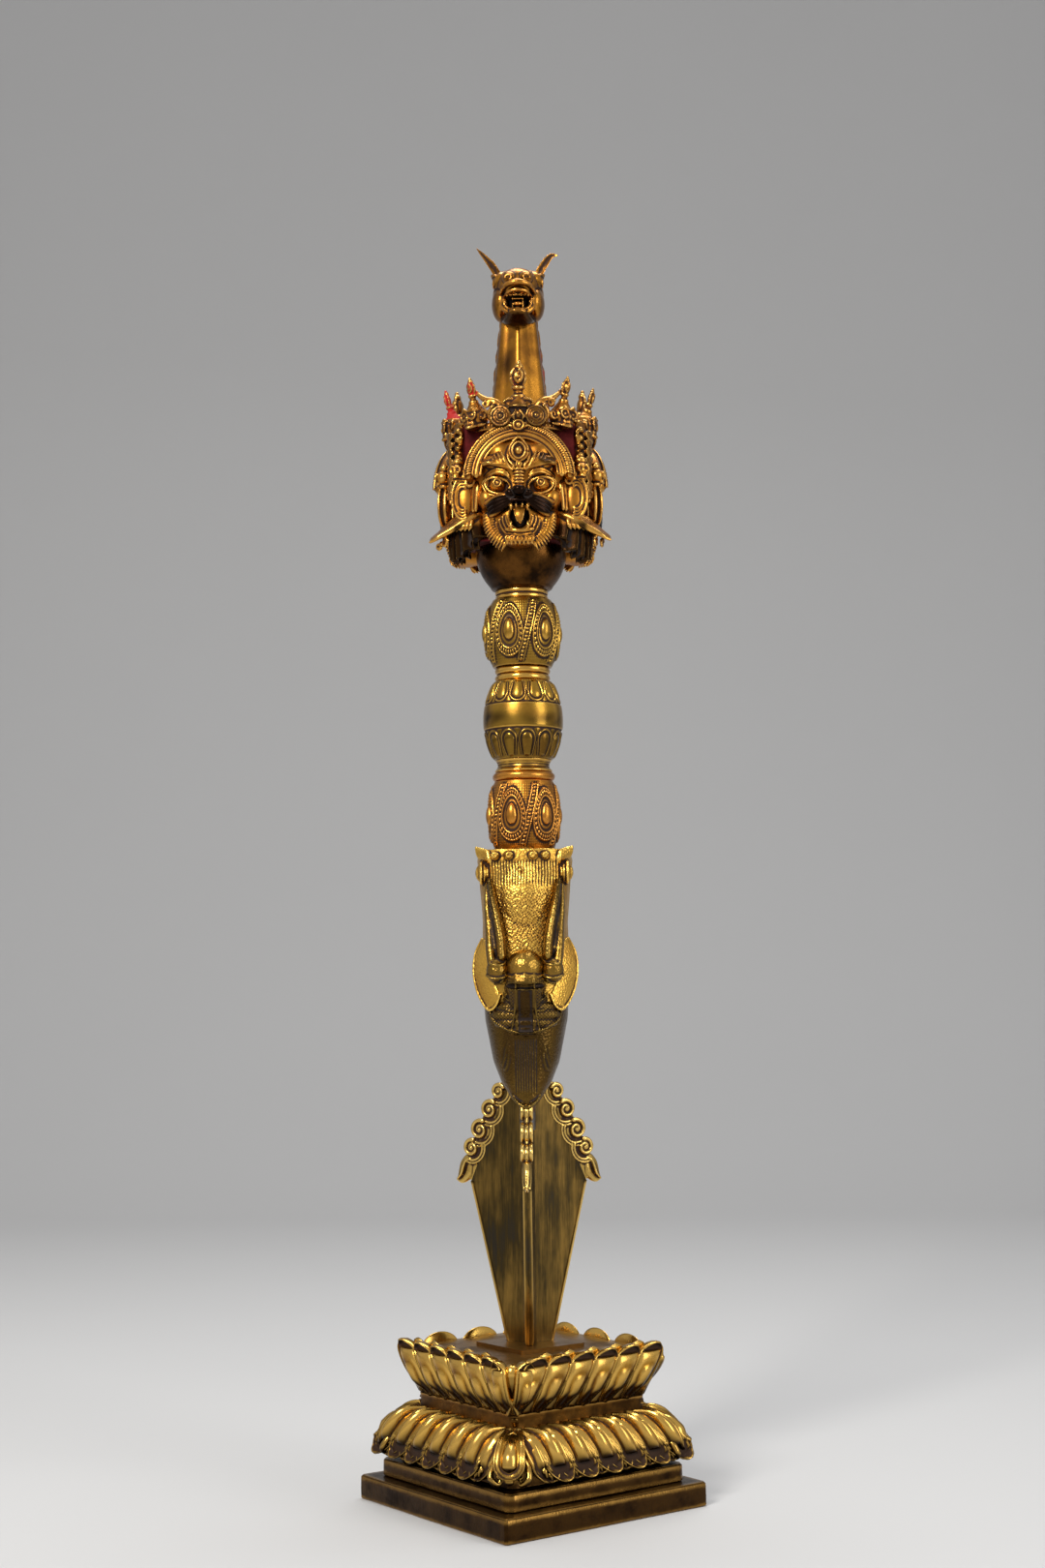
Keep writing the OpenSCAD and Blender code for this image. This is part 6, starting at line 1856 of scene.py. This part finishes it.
def makara_trunk():
    """Curled trunk: a domed hood with a ring line, over a grooved shell with scale arcs."""
    form = Form()
    form.ball((0, -25.6, 257.4), (9.0, 8.6, 8.6), n=36)
    form.tube([(0, -16, 256), (0, -22, 255), (0, -26.0, 249), (0, -23.5, 240)], [7, 8.2, 9.4, 8], smooth=6)
    form.ball((0, -21.5, 247.4), (10.4, 9.6, 6.0), n=32)
    half = [(9.2, 250), (9.8, 246), (11.8, 242), (14.6, 238), (16.9, 234.4), (15.6, 230.6), (11.4, 227.8),
            (6, 226.2)]
    for i, (w, z) in enumerate(half):
        form.ball((0, -18.6, z), (w, 10.6 - 0.35 * i, 5.0), n=32)
    ring = [(9.4 * math.cos(t), -25.4 + 8.4 * math.sin(t), 250.6 + 1.4 * math.cos(2 * t))
            for t in np.linspace(-math.pi, 0, 26)]
    form.tube(ring, 0.62, sides=8)
    ring = [(9.2 * math.cos(t), -25.2 + 8.6 * math.sin(t), 252.6 + 1.2 * math.cos(2 * t))
            for t in np.linspace(-math.pi, 0, 26)]
    form.tube(ring, 0.4, sides=8)
    edge = [(-17.3, -17.0, 236.4), (-16.2, -20.6, 232.2), (-11.6, -24.4, 228.8), (-6, -26.6, 226.6),
            (0, -27.2, 225.8), (6, -26.6, 226.6), (11.6, -24.4, 228.8), (16.2, -20.6, 232.2),
            (17.3, -17.0, 236.4)]
    form.tube(edge, 0.6, smooth=4, sides=8)
    for x in (-1, 1):
        for w, z, tall in ((4.6, 246.4, 3.2), (5.6, 241.6, 4.0), (6.6, 236.6, 4.4)):
            form.tube(flip(x, (4.6, -29.6 + (247 - z) * 0.15, z - 0.2),
                           (4.6 + w * 0.6, -28.2 + (247 - z) * 0.18, z),
                           (4.6 + w, -25.6 + (247 - z) * 0.25, z + tall * 0.5),
                           (5.0 + w, -24.0 + (247 - z) * 0.2, z + tall)), [0.45, 0.55, 0.5, 0.3], smooth=4,
                      sides=8)
        form.tube(flip(x, (4.4, -33.0, 251), (4.6, -31.4, 244), (5.2, -29.0, 236), (6.6, -26.6, 228)),
                  [0.5, 0.6, 0.6, 0.4], smooth=4, sides=8)

    def relief(co, normal):
        x, y, z = co.T
        front = step(-normal[:, 1], 0.1, 0.5)
        groove = -0.9 * (1 - step(np.abs(x), 3.0, 4.2)) * step(249 - z, 0, 4) * step(-y, 20, 24)
        scale = 0.16 * np.sin(x * 3.9) * np.sin(z * 3.9) * (1 - step(z, 246, 249)) * step(np.abs(x), 5, 6)
        return (groove + scale) * front
    obj = cast(form, "makara_trunk_hood", 0.38, 1, relief)
    x, y, z = (co_of(obj) / MM).T
    # The hood is dark bronze all over; the groove is darker, and below the middle of the dome it is darker
    # still as painted shade.
    groove = 0.1 * (1 - step(np.abs(x), 3.0, 5.2)) * step(248.5 - z, 0, 4)
    mark(obj, "black_and_shade", 0.5 + groove + 0.34 * step(254 - z, 0, 4))
    dress(obj, finish("makara_gilt"), "dagger", ["makara_trunk"], "makara_gilt", rounds=(4, 14),
          gain=1200.0)


def makara_horns():
    """Folded brow horns that end in lidded lumps beside the trunk."""
    form = Form()
    for x in (-1, 1):
        inner = flip(x, (16.9, -17.6, 299.4), (15.6, -20.6, 291), (13.4, -23.6, 281), (11.6, -25.8, 271),
                     (11.0, -27.0, 262.5))
        form.tube(inner, [1.3, 1.9, 2.3, 2.4, 2.2], flat=1.7, up=(0, 1, 0.2), smooth=5)
        outer = flip(x, (18.4, -15.4, 298.0), (18.2, -17.4, 288), (17.2, -19.6, 277), (16.6, -22.2, 267),
                     (15.8, -24.2, 260))
        form.tube(outer, [1.0, 1.6, 2.1, 2.5, 2.6], flat=1.5, up=(0, 1, 0.2), smooth=5)
        form.tube(flip(x, (17.4, -13, 297), (15.6, -18.0, 283), (13.8, -21.6, 266)), [1.8, 3.4, 4.6],
                  smooth=5)
        form.ball((x * 13.4, -24.6, 255.8), (5.4, 5.6, 6.4), n=28)
        for i, (rise, wide) in enumerate(((260.4, 4.4), (254.0, 5.4))):
            lid = [(x * (13.4 + wide * math.cos(t)), -25.0 - 5.7 * math.sin(t) * (0.84 + 0.06 * i),
                    rise - 2.0 * math.sin(t)) for t in np.linspace(0.1, math.pi - 0.1, 20)]
            form.tube(lid, 0.5, sides=8)
        form.tube(flip(x, (9.8, -27.0, 259.0), (9.4, -27.6, 254.6), (11.4, -28.0, 250.0),
                       (15.0, -26.4, 249.2)), [0.7, 0.8, 0.7, 0.4], smooth=4, sides=8)
    obj = cast(form, "makara_brow_horns", 0.38, 1)
    x, _, z = (co_of(obj) / MM).T
    fold = hill(np.abs(x) - (16.6 - (299 - z) * 0.05), 1.5) * step(z, 266, 276)
    mark(obj, "black_and_shade", 0.66 + 0.26 * np.maximum(fold, step(252.5 - z, 0, 3)))
    dress(obj, finish("makara_gilt"), "dagger", ["makara_horns"], "makara_gilt", rounds=(4, 14),
          gain=1200.0)


def resampled(path, n, count):
    """A smooth curve through a path, as so many points."""
    fine, _ = spline(np.array(path), np.ones(len(path)), n)
    pick = np.linspace(0, len(fine) - 1, count)
    return np.stack([np.interp(pick, np.arange(len(fine)), fine[:, k]) for k in range(3)], 1)


def makara_cheeks():
    """Leaf-shaped cheek flaps with a turned rim."""
    form = Form()
    for x in (-1, 1):
        rim = [(21.4, -8.0, 272), (24.6, -8.4, 265), (25.6, -9.6, 257), (24.6, -11.4, 249),
               (22.0, -14.6, 242), (18.2, -18.6, 237.0), (14.6, -21.4, 238.6), (12.0, -23.0, 244.5)]
        rim = [(x * a, b, c) for a, b, c in rim]
        form.tube(rim, [0.3, 0.5, 0.6, 0.6, 0.6, 0.65, 0.6, 0.4], smooth=5, sides=10)
        inner = flip(x, (17.6, -13.6, 270), (17.0, -17.6, 258), (14.6, -20.6, 248), (12.6, -22.4, 244))
        a, b = resampled(rim, 4, 26), resampled(inner, 10, 26)
        away = np.array([x * 0.55, -0.83, 0])
        front = np.array([b + (a - b) * s + away * (0.5 * math.sin(math.pi * s))
                          for s in np.linspace(0, 1, 12)])
        net = np.concatenate([front, (front - away * 1.5)[:, ::-1]], axis=1)
        form.grid(net)
    obj = cast(form, "makara_cheek_flaps", 0.38, 1)
    mark(obj, "black_and_shade", 0)
    dress(obj, finish("makara_gilt"), "dagger", ["makara_cheeks"], "makara_gilt", rounds=(4, 14),
          gain=1200.0)


def horse_neck():
    """Faceted neck with a ridge in front and a combed mane behind."""
    z0, z1 = low("horse_neck"), high("horse_neck")
    t = np.linspace(0, 1, 60)
    r = 16.4 + (9.0 - 16.4) * t**0.86
    outline = [(3, z0)] + [(a, z0 + (z1 - z0) * b) for a, b in zip(r, t)] + [(3, z1)]

    def relief(a, z):
        v = (z - z0) / (z1 - z0)
        front = np.arctan2(np.cos(a), -np.sin(a))
        facet = 0.9 * hill(front, 0.2) - 0.8 * hill(np.abs(front) - 0.55, 0.26)
        facet = facet + 0.5 * hill(np.abs(front) - 1.05, 0.22)
        back = math.pi - np.abs(front)
        edge = 1.5 + 0.08 * np.sin(v * 31 + 2 * np.sin(v * 9))
        mane = step(edge - back, 0, 0.1)
        comb = 0.16 * np.sin(v * 40 + back * 8) * mane + 0.1 * np.sin(v * 83 + back * 17) * mane
        keel = (4.2 - 1.2 * v) * hill(back, 0.24) * (0.86 + 0.14 * np.abs(np.sin(v * 26)))
        return (facet + mane * (0.8 + comb) + keel) * step(v, 0.0, 0.015)
    obj = round_skin("horse_neck_skin", outline, relief, 220, 420)
    x, y, z = (co_of(obj) / MM).T
    front = np.arctan2(x, -y)
    red = 0.55 * hill(front - 1.3, 0.45) + 0.5 * hill(front - 1.6, 0.3) + 0.25 * hill(front + 1.6, 0.3)
    mark(obj, "painted", red * step(586 - z, 0, 14) + 0.3 * hill(front - 0.75, 0.2))
    # A dark spot on the left of the neck, and painted shade at the top in front, under the head.
    spot = hill(np.hypot((front + 0.62) * 12, (z - 560) * 0.55), 4.2)
    mark(obj, "black_and_shade", 0.85 * spot + 0.5 * step(z, 580, 586) * (np.abs(front) < 1.2))
    dress(obj, finish("horse_gilt"), "dagger", ["horse_neck"], "horse_gilt", rounds=(4, 16), gain=1100.0)


def horse_head():
    """Blunt head with two brow humps, an open mouth, teeth and a square tongue."""
    form = Form()
    form.ball((0, -0.5, 597.5), (13.0, 12.6, 12.6), n=40)
    form.ball((0, -9.0, 600.0), (10.6, 13.0, 8.6), n=36)
    form.tube([(0, 2, 587), (0, 0, 594)], [10.6, 11.8], smooth=3, sides=24)
    for x in (-1, 1):
        form.ball((x * 7.4, -7.5, 602.4), (5.6, 8.0, 5.4), n=28)
        form.ball((x * 8.4, -5.5, 591.4), (5.0, 10.6, 8.6), n=28)
        form.ball((x * 5.6, 0.5, 606.4), (6.0, 7.6, 4.4), n=24)
        form.ball((x * 4.0, -19.0, 601.0), (3.8, 4.6, 3.4), n=20)
        nostril = [(x * (4.6 + 1.7 * math.cos(t)), -23.4 + 0.3 * math.cos(t), 600.2 + 1.2 * math.sin(t))
                   for t in np.linspace(-0.4, 4.4, 16)]
        form.wire(nostril, 0.4)
        eye = [(x * 12.4, -8.6 + 2.6 * math.cos(t), 601.4 + 1.9 * math.sin(t))
               for t in np.linspace(0, 6.1, 24)]
        form.tube(eye, 0.5, up=(1, 0, 0), sides=8, round_ends=False)
        form.ball((x * 12.0, -8.6, 601.4), (1.1, 1.7, 1.3), n=14)
        form.tube(flip(x, (11.4, -13.0, 604.6), (12.8, -8.6, 605.6), (12.2, -3.6, 604.2)), [0.4, 1.0, 0.4],
                  smooth=4)
        form.tube(flip(x, (7.6, -19.0, 595.4), (9.4, -13.0, 593.4), (10.8, -7.0, 590.2)), [1.0, 0.9, 0.5],
                  smooth=4)
    form.tube([(-8.2, -16.5, 595.4), (-5.4, -22.4, 596.6), (0, -24.8, 597.2), (5.4, -22.4, 596.6),
               (8.2, -16.5, 595.4)], [0.9, 1.5, 1.7, 1.5, 0.9], smooth=5)
    form.tube([(-6.6, -16.4, 592.6), (-4.4, -21.4, 593.4), (0, -23.2, 593.8), (4.4, -21.4, 593.4),
               (6.6, -16.4, 592.6)], [0.7, 1.0, 1.1, 1.0, 0.7], smooth=5)
    form.tube([(0, 4, 586), (0, -6, 583.4), (0, -13, 581.6), (0, -19.0, 582.4)], [9.6, 8.6, 7.4, 5.6],
              flat=0.5, smooth=5, sides=24)
    turns = np.linspace(math.pi * 0.86, math.pi * 2.14, 30)
    jaw = [(7.6 * math.cos(t), -17.6 - 2.6 * abs(math.sin(t)), 587.4 + 5.0 * math.sin(t)) for t in turns]
    form.tube(jaw, 1.3, smooth=0, sides=10)
    for t in np.linspace(math.pi * 0.95, math.pi * 2.05, 13):
        form.ball((6.6 * math.cos(t), -19.4 - 1.6 * abs(math.sin(t)), 588.0 + 4.3 * math.sin(t)),
                  (0.85, 1.0, 1.0), n=10)
    for i in range(-3, 4):
        form.ball((i * 1.75, -21.6 + 0.22 * i * i, 592.0), (0.8, 0.9, 1.0), n=8)
    form.tube([(0, -8, 588.2), (0, -14, 588.4), (0, -21.4, 587.0)], [2.6, 2.7, 2.6], flat=0.5, smooth=4)
    form.tube([(-2.6, -22.6, 584.4), (-2.7, -22.8, 589.2), (2.7, -22.8, 589.2), (2.6, -22.6, 584.4)], 0.42,
              sides=6)

    def relief(co, normal):
        x, y, z = co.T
        cave = -4.5 * step(1.1 - np.hypot(x / 6.0, (z - 588.4) / 4.2), 0, 0.3) * step(-y, 12, 15)
        plate = (np.abs(x) < 3.1) & (np.abs(z - 587.0) < 2.8)
        return np.where(plate, 0, cave * step(-normal[:, 1], 0.3, 0.7))
    obj = cast(form, "horse_head_cast", 0.36, 1, relief)
    x, y, z = (co_of(obj) / MM).T
    # Painted shade inside the open mouth and under the jaw; muzzle is a dark line along the upper lip.
    inside = step(1.15 - np.hypot(x / 6.0, (z - 588.2) / 5.0), 0, 0.25)
    inside = inside * step(-y, 9, 12) * (1 - step(-y, 20.2, 21.4))
    throat = step(584.5 - z, 0, 3) * step(-y, 6, 10)
    muzzle = 0.75 * hill(z - 595.2, 0.7) * step(-y, 18, 20) * (np.abs(x) < 6.5)
    mark(obj, "black_and_shade", np.maximum(inside, 0.8 * throat) + muzzle)
    mark(obj, "painted", 0.5 * hill(np.hypot(x - 9.5, z - 588), 5) + 0.35 * step(z, 606, 609))
    dress(obj, finish("horse_gilt"), "dagger", ["horse_head"], "horse_gilt", rounds=(4, 14), gain=1200.0)


def horse_ears():
    """Two upright leaf-shaped ears, cupped towards the front."""
    form = Form()
    for x, tip, wide in ((-1, (21.0, -2.6, 622.2), 2.1), (1, (20.6, -2.6, 617.8), 2.2)):
        path = np.array([(8.6, -1.0, 604.0), (10.4, -1.2, 608.4), (13.0, -1.7, 613.0), (16.8, -2.2, 617.6),
                         tip])
        path, _ = spline(path, np.ones(5), 8)
        t = np.linspace(0, 1, len(path))
        half = wide * np.clip(np.interp(t, [0, 0.25, 0.55, 0.85, 1], [0.75, 1.0, 0.95, 0.5, 0.12]), 0.05, 2)
        along = np.gradient(path, axis=0)
        along /= np.linalg.norm(along, axis=1)[:, None]
        side = np.cross(along, [0, -1, 0])
        side /= np.linalg.norm(side, axis=1)[:, None]
        net = []
        for i in range(len(path)):
            u = np.linspace(-1, 1, 13)
            thick = 0.35 + 0.5 * half[i] / wide
            cup = 1.5 * (1 - u**2) * half[i] / wide - 0.5
            across = path[i] + side[i] * (u * half[i])[:, None]
            front = across + np.outer(cup - thick * 0.5 * (1 - 0.6 * u**2), [0, 1, 0])
            rear = across + np.outer(cup + thick * (1 - 0.5 * u**2), [0, 1, 0])
            net.append(np.vstack([front, rear[::-1]]))
        net = np.array(net)
        net[:, :, 0] *= x
        form.grid(net)
        form.ball((x * 9.0, -0.6, 605.0), (2.6, 2.6, 2.6), n=16)
    obj = cast(form, "horse_ear_leaves", 0.3, 2)
    z = co_of(obj)[:, 2] / MM
    mark(obj, "black_and_shade", 0.35 * step(z, 618.5, 621))
    mark(obj, "painted", 0)
    dress(obj, finish("horse_gilt"), "dagger", ["horse_ears"], "horse_gilt", rounds=(4, 12), gain=1200.0)


# Operators


def operator(name, label, words, work):
    """An operator class for one piece or a group of like pieces."""

    def execute(self, context):
        work()
        return {"FINISHED"}

    return type("PHURBA_OT_" + name, (bpy.types.Operator,),
                {"bl_idname": "phurba." + name, "bl_label": label, "__doc__": words, "execute": execute})


STEPS = [
    ("stage", "Stage", "Floor, lights and camera", studio),
    ("stand_tiers", "Stand tiers", "Plinth, step, waist, deck and socket plate", stand_tiers),
    ("lower_lotus", "Lower lotus", "Hanging petals of the stand", lower_lotus),
    ("upper_lotus", "Upper lotus", "Standing petals of the stand", upper_lotus),
    ("blade_fins", "Blade", "Three fins with raised rims", blade_fins),
    ("crests", "Crests", "Scroll crests on the shoulders", crests),
    ("lotus_bead", "Lotus bead", "Bead with petals and a polished band", lotus_bead),
    ("grip_rings", "Rings", "Rings and collar of the grip", grip_rings),
    ("knot_beads", "Knot beads", "Two beads woven with ribbons round cabochons", knot_beads),
    ("makara_skull", "Makara", "Casting that holds the blade in its mouth", makara_skull),
    ("makara_trunk", "Trunk", "Curled trunk over its grooved shell", makara_trunk),
    ("makara_horns", "Horns", "Folded brow horns", makara_horns),
    ("makara_cheeks", "Cheeks", "Leaf-shaped cheek flaps", makara_cheeks),
    ("neck_bowl", "Neck bowl", "Bowl under the head", neck_bowl),
    ("faces", "Faces", "Three wrathful faces", faces),
    ("diadems", "Diadems", "Beaded hair bands", diadems),
    ("ears", "Ears", "Ears with ringed discs", ears),
    ("flares", "Hair", "Swept tufts and hair curtains", flares),
    ("crowns", "Crowns", "Skulls and finials", crowns),
    ("horse_neck", "Horse neck", "Faceted neck with its mane", horse_neck),
    ("horse_head", "Horse head", "Head with an open mouth", horse_head),
    ("horse_ears", "Horse ears", "Two leaf-shaped ears", horse_ears),
]
OPERATORS = [operator(*row) for row in STEPS]


class PHURBA_PT_panel(bpy.types.Panel):
    """Sizes, colours and pieces of the phurba"""

    bl_label = "Phurba"
    bl_idname = "PHURBA_PT_panel"
    bl_space_type = "VIEW_3D"
    bl_region_type = "UI"
    bl_category = "Phurba"

    def draw(self, context):
        for holder in (context.scene.phurba_stand, context.scene.phurba_dagger,
                       context.scene.phurba_colours):
            column = self.layout.column()
            for key in holder.bl_rna.properties.keys():
                if key not in ("rna_type", "name"):
                    column.prop(holder, key)
        for name, *_ in STEPS:
            self.layout.operator("phurba." + name)


CLASSES = [PhurbaStand, PhurbaDagger, PhurbaColours, *OPERATORS, PHURBA_PT_panel]


def register():
    """Adds the classes, and the sizes and colours of the scene."""
    for item in CLASSES:
        bpy.utils.register_class(item)
    bpy.types.Scene.phurba_stand = PointerProperty(type=PhurbaStand)
    bpy.types.Scene.phurba_dagger = PointerProperty(type=PhurbaDagger)
    bpy.types.Scene.phurba_colours = PointerProperty(type=PhurbaColours)


def unregister():
    """Takes them away again."""
    del bpy.types.Scene.phurba_stand
    del bpy.types.Scene.phurba_dagger
    del bpy.types.Scene.phurba_colours
    for item in reversed(CLASSES):
        bpy.utils.unregister_class(item)


def dress_left_nodes():
    """Finishes for the nodes that show as they were made."""
    iron = plain_iron()
    bowl, red = finish("bowl_gilt"), finish("red_core")
    choice = {"neck_cup": bowl, "head_core": red, "blade_socket": finish_cad("socket_gilt")}
    for node in ("stand_washer", "stand_nut", "head_washer", "head_nut", "core_rod"):
        choice[node] = iron
    plain = finish_cad("cast_gilt")
    for node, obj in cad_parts.items():
        obj.data.materials.clear()
        obj.data.materials.append(choice.get(node, plain))


def finish_cad(name):
    """Finish of a node that shows as it was made."""
    if name not in FINISHES:
        c = bpy.context.scene.phurba_colours
        tint = (0.26, 0.135, 0.034) if name == "socket_gilt" else tuple(c.gilt)
        FINISHES[name] = gilt_finish(name, gilt=tint, age=0.6, polish=0.32, grain=0.5, bump=0.3,
                                     recess=False)
    return FINISHES[name]


def main():
    """Dresses the frame and writes both bounds."""
    register()
    dress_left_nodes()
    for name, *_ in STEPS:
        getattr(bpy.ops.phurba, name)()


if __name__ == "__main__":
    main()
